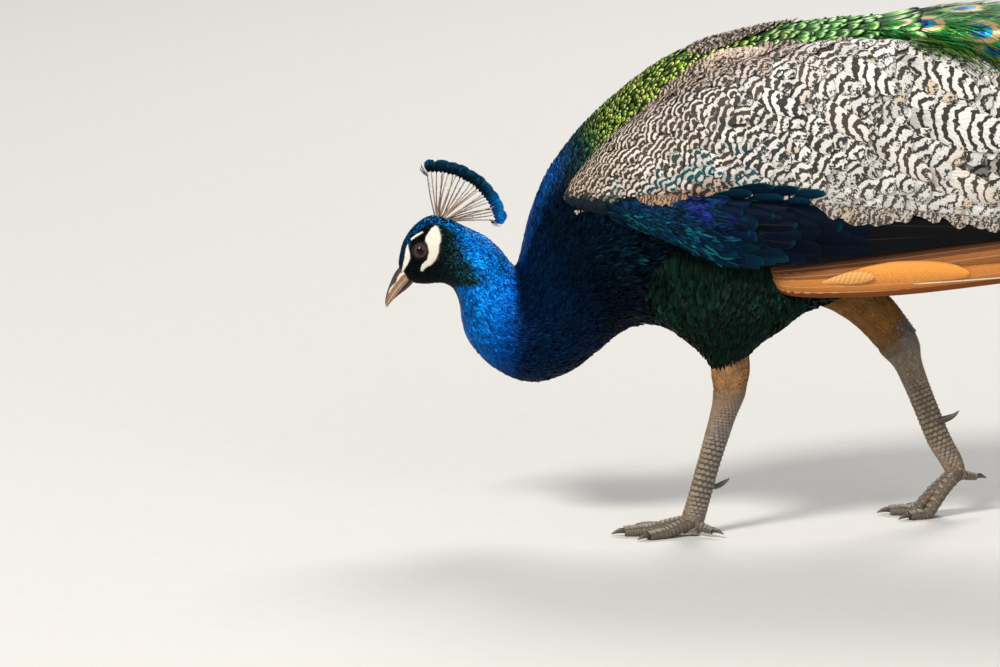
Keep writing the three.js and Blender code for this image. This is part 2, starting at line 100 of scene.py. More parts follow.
shankRows = {"left": [[10, 176, 47, 182, 15.5, 0, leftLegY], [10, 164, 47.5, 166, 14.5, 0, leftLegY],
    [12, 150, 45, 152, 13, 0, leftLegY]],
    "right": [[105, 222, 166, 246, 17, 0, rightLegY], [135, 211, 178, 239, 16, 0, rightLegY],
    [160, 194, 197, 220, 14.5, 0, rightLegY], [180, 173, 215, 196, 13.4, 0, rightLegY]]}
tarsusRows = {"left": [[12.2, 150, 44.8, 152, 12.8, 0, leftLegY], [11.5, 138, 42, 138, 12.3, 0, leftLegY],
    [8.5, 122, 34, 118, 9.6, 0, leftLegY], [4, 104, 27.5, 98, 8, 0, leftLegY], [-4, 74, 18, 67, 7.4, 0, leftLegY],
    [-13, 40, 9.5, 35, 7.8, 0, leftLegY], [-18.5, 20, 4, 15, 8.4, 0, leftLegY], [-18, 9, 1.5, 7, 7.4, 0, leftLegY]],
    "right": [[180.6, 172, 215.6, 194.8, 13, 0, rightLegY], [188, 163, 223, 178, 12.6, 0, rightLegY],
    [198, 152, 225, 162, 10.4, 0, rightLegY], [207, 134, 231, 143, 8.3, 0, rightLegY],
    [219, 106, 242, 115, 7.4, 0, rightLegY], [232, 75, 255, 84, 7.8, 0, rightLegY],
    [244, 56, 267, 61, 8.2, 0, rightLegY], [252, 42, 271.5, 45, 7.4, 0, rightLegY]]}


# Catmull-Rom value of every column at t, with straight lines past both ends.
def column(rows, t):
    rows = np.asarray(rows, float)
    inside = np.clip(t, 0, 1)
    place = inside * (len(rows) - 1)
    i = np.minimum(place.astype(int), len(rows) - 2)
    f = (place - i)[..., None]
    p0, p1, p2 = rows[np.maximum(i - 1, 0)], rows[i], rows[i + 1]
    p3 = rows[np.minimum(i + 2, len(rows) - 1)]
    value = p1 + 0.5 * f * (p2 - p0 + f * (2 * p0 - 5 * p1 + 4 * p2 - p3 + f * (3 * p1 - p0 - 3 * p2 + p3)))
    past = ((t - inside) * (len(rows) - 1))[..., None]
    return value + past * np.where(past > 0, rows[-1] - rows[-2], rows[1] - rows[0])


# A loft through outline rows as a function of t along it, turn around it and grow outwards.
# Turn 0 is end a, pi is end b, and turns from 0 to pi lie on the outer side of a paired part.
def lofted(rows, side=1):
    def surface(t, turn, grow=0.0):
        t, turn, grow = np.broadcast_arrays(np.asarray(t, float), turn, grow)
        ax, az, bx, bz, w, lean, y = np.moveaxis(column(rows, t), -1, 0)
        halfX, halfZ = (ax - bx) / 2, (az - bz) / 2
        half = np.maximum(np.hypot(halfX, halfZ), 0.2)
        stretch = np.cos(turn) * np.maximum(half + grow, 0.1) / half
        reach = np.sin(turn) * np.maximum(w + grow, 0.1) * (1 + lean * np.cos(turn))
        return np.stack([(ax + bx) / 2 + halfX * stretch, side * (y + reach), (az + bz) / 2 + halfZ * stretch], -1)
    return surface


# A round limb along points [x, y, z, radius] in an upright plane, with side its sideways
# direction and flat its share of thickness sideways.
def limbed(points, side, flat=1.0):
    side = np.array(side, float) / norm(side)

    def surface(t, turn, grow=0.0):
        t, turn, grow = np.broadcast_arrays(np.asarray(t, float), turn, grow)
        here = column(points, t)
        along = unit(column(points, t + 0.01)[..., :3] - column(points, t - 0.01)[..., :3])
        over = np.cross(side, along)
        radius = (np.maximum(here[..., 3] + grow, 0.05))[..., None]
        return (here[..., :3] + over * radius * np.cos(turn)[..., None] + side * radius * flat
            * np.sin(turn)[..., None])
    return surface


def unit(vectors):
    return vectors / np.maximum(norm(vectors, axis=-1, keepdims=True), 1e-9)


def smooth(low, high, value):
    share = np.clip((value - low) / (high - low), 0, 1)
    return share * share * (3 - 2 * share)


def mix(a, b, share):
    a, b, share = np.asarray(a), np.asarray(b), np.asarray(share)
    return a + (b - a) * (share[..., None] if a.ndim or b.ndim else share)


# Tones laid over a colour one after another, each by its share.
def layered(colour, *layers):
    for tone, share in layers:
        colour = mix(colour, tone, share)
    return colour


# Point, direction of t, direction of turn and outward normal, by small differences.
def frameAt(surface, t, turn):
    step = 1e-4
    here = surface(t, turn)
    alongT = (surface(t + step, turn) - surface(t - step, turn)) / (2 * step)
    alongTurn = (surface(t, turn + step) - surface(t, turn - step)) / (2 * step)
    normal = unit(np.cross(alongT, alongTurn))
    middle = (surface(t, turn) + surface(t, turn + pi)) / 2
    outward = np.sign(np.sum(normal * (here - middle), -1, keepdims=True))
    return here, alongT, alongTurn, normal * np.where(outward == 0, 1, outward)


# Smooth wandering values from a few sine waves of different directions.
def drift(points, size, seed):
    rng = default_rng(seed)
    total = np.zeros(points.shape[:-1])
    for _ in range(5):
        wave = rng.normal(size=3)
        total += np.sin(points @ (wave / norm(wave)) * (rng.uniform(4, 9) / size) + rng.uniform(0, 6.28))
    return total / 5


# A mesh piece. Tints and values are given for each vertex, or once for all of them.
def makePiece(name, points, faces, material, slot, replaced=(), maps=None, tints=None, values=None):
    mesh = bpy.data.meshes.new(name)
    faces = np.ascontiguousarray(faces, dtype=np.int32)
    corners = faces.shape[1]
    mesh.vertices.add(len(points))
    mesh.vertices.foreach_set("co", toScene(points).astype(np.float32).ravel())
    mesh.loops.add(faces.size)
    mesh.loops.foreach_set("vertex_index", faces.ravel())
    mesh.polygons.add(len(faces))
    mesh.polygons.foreach_set("loop_start", np.arange(0, faces.size, corners, dtype=np.int32))
    mesh.polygons.foreach_set("use_smooth", np.ones(len(faces), bool))
    mesh.update(calc_edges=True)
    for label, uv in (maps or {}).items():
        layer = mesh.uv_layers.new(name=label)
        layer.data.foreach_set("uv", uv[faces.ravel()].astype(np.float32).ravel())
    for label, tint in (tints or {}).items():
        layer = mesh.color_attributes.new(name=label, type="FLOAT_COLOR", domain="POINT")
        rgba = np.ones((len(points), 4), np.float32)
        rgba[:, :3] = np.clip(tint, 0, 1)
        layer.data.foreach_set("color", rgba.ravel())
    for label, numbers in (values or {}).items():
        layer = mesh.attributes.new(name=label, type="FLOAT", domain="POINT")
        layer.data.foreach_set("value", np.broadcast_to(numbers, len(points)).astype(np.float32))
    piece = bpy.data.objects.new(name, mesh)
    bpy.context.scene.collection.objects.link(piece)
    mesh.materials.append(material)
    if slot:
        dress(piece, replaced)
    return piece


def dress(piece, replaced=()):
    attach(piece, "root")
    if replaced:
        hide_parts(*replaced)


# A coat of feathers as a piece, with its tint, its other colours and its values.
def coatPiece(name, coat, kind, slot, bake, tint, values=None, replaced=(), vane=None, **tints):
    maps = {"vane": vaneMap(coat) if vane is None else vane, "OFBake": bake}
    return makePiece(name, coat["points"], coat["faces"], finishes[kind], slot, replaced, maps,
        {"tint": tint, **tints}, values)


# Quads of a grid of rows by columns, closed round the columns and the rows where that is set.
def gridFaces(rows, columns, wrap=False, ring=False):
    r, c = np.meshgrid(np.arange(rows if ring else rows - 1), np.arange(columns if wrap else columns - 1),
        indexing="ij")
    m, n = (r + 1) % rows, (c + 1) % columns
    return np.stack([r * columns + c, m * columns + c, m * columns + n, r * columns + n], -1).reshape(-1, 4)


# The quads of many grids of the same size, one after another.
def manyFaces(count, rows, columns, wrap=False):
    cells = gridFaces(rows, columns, wrap)
    return (cells[None] + (np.arange(count) * rows * columns)[:, None, None]).reshape(-1, 4)


# Triangles of a closed mesh, turned outwards by its signed volume.
def outwardTriangles(points, quads, *caps):
    triangles = np.concatenate([quads[:, [0, 1, 2]], quads[:, [0, 2, 3]], *caps])
    a, b, c = (points[triangles[:, i]] for i in range(3))
    return triangles[:, ::-1] if np.sum(a * np.cross(b, c)) < 0 else triangles


# A closed grid over a surface: rings at the places ts, with a pole at each end.
def closedGrid(surface, ts, sides, grow):
    turn = np.linspace(0, 2 * pi, sides, endpoint=False)
    t2, r2 = np.meshgrid(ts, turn, indexing="ij")
    points = surface(t2, r2, grow(t2, r2) if callable(grow) else grow)
    flat = np.concatenate([points.reshape(-1, 3), [points[0].mean(0), points[-1].mean(0)]])
    around, last, count = np.arange(sides), (len(ts) - 1) * sides, len(flat)
    nextOne = (around + 1) % sides
    caps = (np.stack([np.full(sides, count - 2), around, nextOne], 1),
        np.stack([np.full(sides, count - 1), last + nextOne, last + around], 1))
    return (flat, outwardTriangles(flat, gridFaces(len(ts), sides, wrap=True), *caps),
        np.concatenate([t2.ravel(), [ts[0], ts[-1]]]), np.concatenate([r2.ravel(), [0, 0]]))


# Distances along a ring of the surface at t, from the first of the turns to each.
def ringReach(surface, t, turns):
    ring = surface(np.full(len(turns), t), turns)
    return np.concatenate([[0], np.cumsum(norm(np.diff(ring, axis=0), axis=1))])


# Distance along the surface for each unit of t.
def aheadRate(surface, t, turn):
    return norm(surface(np.array([t + 1e-3]), np.array([turn])) - surface(np.array([t]), np.array([turn]))) * 1000


# Roots spread evenly for the given density: a low-discrepancy sequence is carried through the
# share of area times density along t, and then through the share round each ring.
def scatter(surface, count, spanT, spanTurn, density, seed):
    ts = np.linspace(*spanT, 260)
    turns = np.linspace(*spanTurn, 260)
    t2, r2 = np.meshgrid(ts, turns, indexing="ij")
    point, alongT, alongTurn, _ = frameAt(surface, t2, r2)
    weight = norm(np.cross(alongT, alongTurn), axis=-1) * density(t2, r2, point) + 1e-12
    perRow = weight.sum(1)
    shareT = np.concatenate([[0], np.cumsum(perRow)]) / perRow.sum()
    edgesT = np.linspace(*spanT, 261)
    edgesR = np.linspace(*spanTurn, 261)
    n = np.arange(1, count + 1)
    start = default_rng(seed).random(2)
    first = (start[0] + n * 0.7548776662466927) % 1
    second = (start[1] + n * 0.5698402909980532) % 1
    t = np.interp(first, shareT, edgesT)
    row = np.clip(np.searchsorted(shareT, first) - 1, 0, 259)
    shareR = np.cumsum(weight, 1) / perRow[:, None]
    flat = (shareR + np.arange(260)[:, None]).ravel()
    cell = np.clip(np.searchsorted(flat, row + second) - row * 260, 0, 259)
    before = np.where(cell > 0, shareR[row, np.maximum(cell - 1, 0)], 0)
    inside = (second - before) / np.maximum(shareR[row, cell] - before, 1e-9)
    turn = edgesR[cell] + np.clip(inside, 0, 1) * (edgesR[1] - edgesR[0])
    return t, turn


# A grid's u across and v along; its steps close up towards a round tip.
def featherGrid(grid):
    u, v = np.meshgrid(np.linspace(-1, 1, grid[0] + 1), np.linspace(0, 1, grid[1] + 1))
    return u.ravel()[None], 1 - (1 - v.ravel()[None]) ** 1.4


# What every coat carries: vertices, faces, u, v and feather of each vertex, and the roots.
def asCoat(points, grid, u, v, t, turn, facing):
    n, size = points.shape[:2]
    faces = manyFaces(n, grid[1] + 1, grid[0] + 1)
    return {"points": points.reshape(-1, 3), "faces": faces[:, ::-1] if facing < 0 else faces,
        "u": np.broadcast_to(u, (n, size)).ravel(), "v": np.broadcast_to(v, (n, size)).ravel(),
        "each": np.repeat(np.arange(n), size), "count": n, "t": t, "turn": turn}


# Every value as a column with a row for each of n feathers.
def columns(n, *values):
    return (np.broadcast_to(np.asarray(x, float), n)[:, None] for x in values)


# Feathers laid along a surface. Each is a grid of u from -1 to 1 across and v from 0 to 1 along,
# whose flat shape is carried onto the surface through the directions at its root, so that it
# follows the body's curves. Its height above the surface goes from low at the root to high at
# the tip, and camber lowers its edges.
def layFeathers(surface, t, turn, length, halfWidth, yaw=0.0, outline=None, low=-1.5, high=0.0, grid=(2, 3),
        camber=0.25, sweep=0.0, power=0.7, roll=0.0):
    n = len(t)
    length, halfWidth, yaw, low, high, sweep, roll = columns(n, length, halfWidth, yaw, low, high, sweep, roll)
    u, v = featherGrid(grid)
    _, alongT, alongTurn, normal = frameAt(surface, t, turn)
    meanT = norm(surface(t + 1e-3, turn + pi) + surface(t + 1e-3, turn) - surface(t - 1e-3, turn + pi)
        - surface(t - 1e-3, turn), axis=-1) / 4e-3
    size = norm(alongT, axis=-1)
    alongT = alongT * (np.maximum(size, 0.5 * meanT) / np.maximum(size, 1e-6))[:, None]
    flow = unit(alongT)
    over = unit(alongTurn - flow * np.sum(alongTurn * flow, -1, keepdims=True))
    forward = length * v
    width = halfWidth * outline(v) * u + sweep * length * v * v
    a = forward * np.cos(yaw) - width * np.sin(yaw)
    b = forward * np.sin(yaw) + width * np.cos(yaw)
    moved = flow[:, None] * a[..., None] + over[:, None] * b[..., None]
    e, g = np.sum(alongT ** 2, -1)[:, None], np.sum(alongTurn ** 2, -1)[:, None]
    f = np.sum(alongT * alongTurn, -1)[:, None]
    x, y = np.sum(moved * alongT[:, None], -1), np.sum(moved * alongTurn[:, None], -1)
    det = np.maximum(e * g - f * f, 1e-6 * e * g + 1e-9)
    placeT = t[:, None] + (g * x - f * y) / det
    placeR = turn[:, None] + (e * y - f * x) / det
    grow = (low + (high - low) * v ** power - camber * halfWidth * outline(v) * u * u + roll * halfWidth * u)
    return asCoat(surface(placeT, placeR, grow), grid, u, v, t, turn, np.sum(np.cross(flow, over) * normal))


def joined(coats):
    out = {key: [] for key in ("points", "faces", "u", "v", "each", "t", "turn")}
    vertices = feathers = 0
    for coat in coats:
        for key in ("points", "u", "v", "t", "turn"):
            out[key].append(coat[key])
        out["faces"].append(coat["faces"] + vertices)
        out["each"].append(coat["each"] + feathers)
        vertices += len(coat["points"])
        feathers += coat["count"]
    out = {key: np.concatenate(value) for key, value in out.items()}
    out["count"] = feathers
    return out


# Small tufts: a patch 0.003 across at the root's place, turn across and t up.
def tuftBake(coat, spanT, spanTurn, patch=0.003):
    each = coat["each"]
    acrossMap = 0.01 + 0.98 * (coat["turn"] - spanTurn[0]) / (spanTurn[1] - spanTurn[0])
    upMap = 0.01 + 0.98 * (coat["t"] - spanT[0]) / (spanT[1] - spanT[0])
    return np.stack([acrossMap[each] + coat["u"] * patch / 2, upMap[each] + (coat["v"] - 0.5) * patch], 1)


# Large feathers with a pattern: a cell of their own each, in the order of their roots.
def cellBake(coat, columns=None):
    n = coat["count"]
    columns = columns or int(ceil(sqrt(n)))
    rank = np.empty(n, int)
    rank[np.lexsort((coat["turn"], coat["t"]))] = np.arange(n)
    cellX, cellY = (rank % columns)[coat["each"]], (rank // columns)[coat["each"]]
    rows = ceil(n / columns)
    return np.stack([(cellX + 0.5 + coat["u"] * 0.45) / columns, (cellY + 0.05 + 0.9 * coat["v"]) / rows], 1)


def vaneMap(coat):
    return np.stack([coat["u"] * 0.5 + 0.5, coat["v"]], 1)


# Wraps an output socket, so that an expression on it adds Math nodes.
class Shade:
    def __init__(self, tree, socket=None):
        self.tree, self.socket = tree, socket

    # Any other node: its settings come first, then the values or links of its sockets.
    def node(self, kind, settings=None, sockets=None, out=0):
        made = self.tree.nodes.new("ShaderNode" + kind)
        for key, value in (settings or {}).items():
            if key == "stops":
                ramp = made.color_ramp
                while len(ramp.elements) < len(value):
                    ramp.elements.new(0.5)
                for element, (place, colour) in zip(ramp.elements, value):
                    element.position, element.color = place, (*colour, 1)
            else:
                setattr(made, key, value)
        for key, value in (sockets or {}).items():
            if isinstance(value, Shade):
                self.tree.links.new(value.socket, made.inputs[key])
            else:
                made.inputs[key].default_value = value
        return Shade(self.tree, made.outputs[out])

    def math(self, operation, *values):
        return self.node("Math", {"operation": operation}, dict(enumerate(values)))

    def __add__(self, other): return self.math("ADD", self, other)
    def __radd__(self, other): return self.math("ADD", other, self)
    def __sub__(self, other): return self.math("SUBTRACT", self, other)
    def __rsub__(self, other): return self.math("SUBTRACT", other, self)
    def __mul__(self, other): return self.math("MULTIPLY", self, other)
    def __rmul__(self, other): return self.math("MULTIPLY", other, self)
    def __truediv__(self, other): return self.math("DIVIDE", self, other)
    def __pow__(self, other): return self.math("POWER", self, other)

    def sine(self): return self.math("SINE", self)
    def size(self): return self.math("ABSOLUTE", self)

    def band(self, low, high):
        return self.node("MapRange", {"interpolation_type": "SMOOTHSTEP"}, {"Value": self, "From Min": low,
            "From Max": high})

    def blend(self, first, second):
        picked = {"Factor": self, 6: first, 7: second}
        return self.node("Mix", {"data_type": "RGBA"}, picked, 2)

    def lit(self, amount):  # a colour made lighter or darker
        grey = amount.blend(rgb(0, 0, 0), rgb(1, 1, 1))
        return self.node("Mix", {"data_type": "RGBA", "blend_type": "MULTIPLY"}, {"Factor": 1.0, 6: self, 7: grey},
            2)


def rgb(*values):
    return (*values, 1.0)


# A Principled material. make(shade) gives what varies, by socket name, and a height for bump.
def finish(name, make, constants=None, bump=0.2, distance=0.0005):
    material = bpy.data.materials.new(name)
    material.use_nodes = True
    tree = material.node_tree
    shader = next(node for node in tree.nodes if node.type == "BSDF_PRINCIPLED")
    for key, value in (constants or {}).items():
        shader.inputs[key].default_value = value
    start = Shade(tree)
    for key, value in make(start).items():
        if key == "height":
            value = start.node("Bump", {}, {"Height": value, "Strength": bump, "Distance": distance})
            key = "Normal"
        tree.links.new(value.socket, shader.inputs[key])
    return material


def vane(shade):
    place = shade.node("UVMap", {"uv_map": "vane"})
    split = shade.node("SeparateXYZ", {}, {0: place})
    return split, Shade(shade.tree, split.socket.node.outputs[1])


def tinted(shade, layer="tint"):
    return shade.node("VertexColor", {"layer_name": layer})


def number(shade, label):
    return shade.node("Attribute", {"attribute_type": "GEOMETRY", "attribute_name": label}, {}, 2)


def place(shade):
    return shade.node("TexCoord", {}, {}, 3)


def noise(shade, scale, detail=3.0, rough=0.6):
    return shade.node("TexNoise", {}, {"Vector": place(shade), "Scale": scale, "Detail": detail,
        "Roughness": rough})


# Small plumage: the tint of each tuft, with fine barbs as bump and a sheen given by gloss.
def smallPlumage(name, rough, barbs=26.0):
    def make(shade):
        across, along = vane(shade)
        side = (across - 0.5).size()
        streak = ((along * 5 + side * 6) * barbs / 4).sine()
        patchy = noise(shade, 260.0)
        colour = tinted(shade).lit(0.5 + (streak * 0.12 + patchy * 0.9).band(-0.1, 1.0) * 0.8)
        return {"Base Color": colour, "Metallic": number(shade, "gloss"), "Roughness": rough + (patchy - 0.5) * 0.2,
            "height": streak}
    return finish(name, make, {"Specular IOR Level": 0.12}, 0.25, 0.0002)


# Bare skin and the down under the coat.
def skinFinish(shade):
    grain = noise(shade, 900.0, 4.0)
    return {"Base Color": tinted(shade).lit(0.7 + grain * 0.5), "Roughness": 0.6 + grain * 0.25, "height": grain}


# Back scales: a bright middle towards the tip, which is a painted highlight in the glint colour, a fine shaft and a
# black rim. The rim follows the scale's own outline: reach is 1 on it and falls towards the middle.
def scaleFinish(shade):
    across, along = vane(shade)
    side = (across * 2 - 1).size()
    tip = ((along - 0.35) / 0.65).math("MAXIMUM", (along - 0.35) / 0.65, 0.0) ** 2.6
    reach = side ** 2.0 * (1 - tip) + tip
    rim = reach.band(0.6, 0.78)
    barbs = (along * 34 - side * 15).sine()
    glint = (1 - (reach - 0.38).size().band(0.0, 0.22)) * along.band(0.5, 0.72)
    gold = tinted(shade).lit(0.74 + barbs * 0.18)
    colour = glint.blend(gold, tinted(shade, "glint"))
    shaft = (1 - side.band(0.03, 0.1)) * 0.5 * (1 - glint)
    colour = shaft.blend(colour, rgb(0.02, 0.05, 0.008))
    colour = rim.blend(colour, rgb(0.0015, 0.005, 0.003))
    return {"Base Color": colour, "Metallic": number(shade, "gloss") * (1 - rim * 0.6), "Roughness": 0.4 + rim * 0.2
        + barbs * 0.04, "height": barbs * 0.4 - rim}


# Barred feathers: wavy bars of brown-black on cream, whose phase runs along each feather. Slow
# noise bends the bars, quicker noise makes them jagged, and wander breaks them into mottling.
def barredFinish(shade):
    across, along = vane(shade)
    side = (across * 2 - 1).size()
    wander = number(shade, "wander")
    slow = noise(shade, 38.0, 1.0) - 0.5
    jag = noise(shade, 185.0, 1.5) - 0.5
    fine = noise(shade, 520.0, 2.0) - 0.5
    phase = number(shade, "phase") + slow * 1.5 + jag * (0.8 + wander * 0.8)
    wave = (phase * 6.2832).sine()
    bars = (wave * (1 - wander * 0.62) + fine * (0.5 + wander * 4.4) + jag * (0.5 + wander * 0.8) + number(shade,
        "darkness")).band(-0.2, 0.2)
    barbs = (along * 60 - side * 30).sine()
    cream = tinted(shade).lit(0.84 + barbs * 0.1 + fine * 0.5)
    colour = bars.blend(cream, tinted(shade, "shade"))
    shaft = (1 - side.band(0.012, 0.04)) * along.band(0.9, 0.3)
    return {"Base Color": (shaft * 0.4).blend(colour, rgb(0.22, 0.17, 0.12)), "Roughness": 0.6 + barbs * 0.05,
        "Metallic": number(shade, "gloss"), "height": barbs * 0.4 + shaft}


# Quills: a shaft and slanting barbs.
def quillFinish(name, shaftColour, rough=0.5, shine=0.2):
    def make(shade):
        across, along = vane(shade)
        side = (across * 2 - 1).size()
        barbs = ((along * 190 - side * 26)).sine()
        strands = noise(shade, 300.0, 3.0)
        shaft = 1 - side.band(0.03, 0.07)
        colour = tinted(shade).lit(0.72 + barbs * 0.12 + strands * 0.42)
        return {"Base Color": (shaft * number(shade, "shaft")).blend(colour, shaftColour),
            "Metallic": number(shade, "gloss"), "Roughness": rough + barbs * 0.06, "height": barbs * 0.35
            + shaft * 1.5}
    return finish(name, make, {"Specular IOR Level": shine}, 0.3, 0.0005)


# Eyespots: dark heart, turquoise, bronze ring, gold-green rim.
def eyespotFinish(shade):
    across, along = vane(shade)
    x, y = across * 2 - 1, along * 2 - 1
    notch = (1 - (x * 5).size().band(0.0, 1.0)) * 0.1
    heart = ((x * 1.0) ** 2.0 + ((y + 0.16) * 1.08) ** 2.0) ** 0.5 + notch
    ring = (x ** 2.0 + y ** 2.0) ** 0.5
    barbs = ((along * 46 - x.size() * 30)).sine()
    gold = tinted(shade)
    bronze, teal = rgb(0.5, 0.33, 0.17), rgb(0.004, 0.26, 0.46)
    colour = ring.band(0.78, 0.86).blend(bronze, gold)
    colour = ring.band(0.84, 0.9).blend(colour, rgb(0.05, 0.16, 0.02))
    colour = ring.band(0.93, 1.0).blend(colour, gold)
    inner = ((x * 1.05) ** 2.0 + ((y + 0.06) * 1.1) ** 2.0) ** 0.5
    colour = (1 - inner.band(0.5, 0.56)).blend(colour, teal)
    colour = (1 - heart.band(0.34, 0.39)).blend(colour, rgb(0.003, 0.014, 0.2))
    colour = colour.lit(0.88 + barbs * 0.1)
    return {"Base Color": colour, "Roughness": 0.42 + barbs * 0.05, "height": barbs}


def hornFinish(name, rough=0.32):
    def make(shade):
        grain = shade.node("TexNoise", {},
            {"Vector": shade.node("Mapping", {}, {"Vector": place(shade), "Scale": (300.0, 900.0, 120.0)}),
            "Scale": 1.0, "Detail": 4.0})
        worn = noise(shade, 150.0)
        return {"Base Color": tinted(shade).lit(0.62 + grain * 0.45 + worn * 0.3),
            "Roughness": rough + (grain - 0.5) * 0.25 + (worn - 0.5) * 0.15, "height": grain}
    return finish(name, make, {"Specular IOR Level": 0.5, "Coat Weight": 0.15, "Coat Roughness": 0.25}, 0.25,
        0.0002)


# Horny leg scales: the tint of each scale, darker in the joints, with worn patches.
def scuteFinish(shade):
    across, along = vane(shade)
    rim = ((across * 2 - 1).size() ** 4.0 + (along * 2 - 1).size() ** 4.0).band(0.45, 1.0)
    worn = noise(shade, 420.0)
    colour = (rim * 0.75).blend(tinted(shade), rgb(0.035, 0.028, 0.022))
    return {"Base Color": colour.lit(0.65 + worn * 0.6), "Roughness": 0.42 + worn * 0.25, "height": worn - rim}


# The eye: brown iris with fine rays round a black pupil, under a wet clear coat.
def eyeFinish(shade):
    across, along = vane(shade)
    rays = shade.node("TexNoise", {},
        {"Vector": shade.node("CombineXYZ", {}, {0: across * 60, 1: along * 5, 2: 0.0}), "Scale": 1.0,
        "Detail": 3.0})
    iris = along.band(0.38, 0.66).blend(rgb(0.02, 0.01, 0.007), rgb(0.062, 0.034, 0.024))
    iris = along.band(0.74, 0.88).blend(iris, rgb(0.016, 0.008, 0.007))
    iris = iris.lit(0.55 + rays * 0.9)
    colour = along.band(0.33, 0.4).blend(rgb(0.0012, 0.001, 0.001), iris)
    colour = along.band(0.88, 0.95).blend(colour, rgb(0.004, 0.003, 0.003))
    return {"Base Color": colour, "height": rays}


finishes = {"small": smallPlumage("SmallPlumage", 0.42), "silky": smallPlumage("SilkyNeck", 0.36, 14.0),
    "skin": finish("Skin", skinFinish, {"Specular IOR Level": 0.3}, 0.3, 0.0003), "scales": finish("BackScales",
    scaleFinish, {"Specular IOR Level": 0.3}, 0.35, 0.0004), "barred": finish("BarredFeathers", barredFinish,
    {"Specular IOR Level": 0.2}, 0.3, 0.0004), "dark": quillFinish("DarkQuills", rgb(0.045, 0.04, 0.035), 0.46,
    0.07), "chestnut": quillFinish("ChestnutQuills", rgb(0.8, 0.58, 0.36), 0.55, 0.15),
    "tail": quillFinish("TailQuills", rgb(0.4, 0.3, 0.2), 0.6), "barbs": smallPlumage("TrainBarbs", 0.38, 30.0),
    "eyespot": finish("Eyespots", eyespotFinish, {"Specular IOR Level": 0.35, "Metallic": 0.6}, 0.12, 0.0003),
    "horn": hornFinish("BillHorn"), "claw": hornFinish("ClawHorn", 0.36), "scutes": finish("LegScales", scuteFinish,
    {"Specular IOR Level": 0.45}, 0.3, 0.0003), "eye": finish("Eye", eyeFinish,
    {"Roughness": 0.25, "Coat Weight": 0.22, "Coat Roughness": 0.02, "Specular IOR Level": 0.08}, 0.03, 0.0001)}
print("materials made:", len(finishes))


stageValues = {"distance": 6.0, "elevation": 10.0, "target": (-200.0, 0.0, 195.5), "lens": 216.0}
target = toScene(stageValues["target"])
tilt = radians(stageValues["elevation"])
cameraData = bpy.data.cameras.new("Camera")
cameraData.lens, cameraData.sensor_width, cameraData.clip_end = stageValues["lens"], 36.0, 100.0
camera = bpy.data.objects.new("Camera", cameraData)
camera.location = (target[0], target[1] - stageValues["distance"] * cos(tilt),
    target[2] + stageValues["distance"] * sin(tilt))
camera.rotation_euler = (pi / 2 - tilt, 0, 0)
bpy.context.scene.collection.objects.link(camera)
bpy.context.scene.camera = camera


def lamp(name, offset, size, power, colour):
    data = bpy.data.lights.new(name, "AREA")
    data.shape, data.size, data.energy, data.color = "DISK", size, power, colour
    light = bpy.data.objects.new(name, data)
    light.location = (target[0] + offset[0], target[1] + offset[1], target[2] + offset[2])
    away = np.array(offset, float)
    light.rotation_euler = (atan2(hypot(away[0], away[1]), away[2]), 0, atan2(away[1], away[0]) + pi / 2)
    light.visible_camera = False
    bpy.context.scene.collection.objects.link(light)


lamp("Key", (-3.0, -4.4, 5.6), 1.9, 620, (1.0, 0.965, 0.91))
lamp("Fill", (3.4, -5.4, 3.2), 4.0, 110, (0.93, 0.96, 1.0))
lamp("Rim", (1.8, 5.2, 5.2), 3.2, 330, (1.0, 0.98, 0.95))
bpy.context.scene.view_settings.view_transform = "Standard"
world = bpy.data.worlds.new("World")
bpy.context.scene.world = world
world.use_nodes = True
backdrop = next(node for node in world.node_tree.nodes if node.type == "BACKGROUND")
backdrop.inputs[0].default_value, backdrop.inputs[1].default_value = (0.86, 0.9, 0.96, 1), 0.36


def floorFinish(shade):
    grain = noise(shade, 40.0)
    return {"Base Color": (grain * 0.35).blend(rgb(0.6, 0.585, 0.56), rgb(0.52, 0.505, 0.48)),
        "Roughness": 0.75 + grain * 0.15}


floorSize = 40.0
corners = np.array([[-1, -1, 0], [1, -1, 0], [1, 1, 0], [-1, 1, 0]]) * floorSize / 2
floor = makePiece("Floor", corners * 1000 + shift, [[0, 1, 2, 3]], finish("PaleFloor", floorFinish), None)
print("camera, floor and lights placed")


# Colour and gloss over head, neck and trunk, for points in millimetres, k the place along the
# body in rows and turn round it. The same markings colour the skin and the coat.
markings = {"azure": (0.0006, 0.124, 0.58), "bright": (0.003, 0.36, 1.0), "navy": (0.001, 0.02, 0.1),
    "night": (0.001, 0.0072, 0.018), "teal": (0.002, 0.12, 0.15), "black": (0.0025, 0.004, 0.004),
    "faceGreen": (0.002, 0.007, 0.007), "mid": (0.0007, 0.019, 0.068), "white": (0.76, 0.73, 0.63),
    "bottle": (0.0015, 0.01, 0.006), "green": (0.045, 0.27, 0.03), "gold": (0.36, 0.46, 0.06),
    "upper": (0.0008, 0.012, 0.034)}
markings = {key: np.array(value) for key, value in markings.items()}


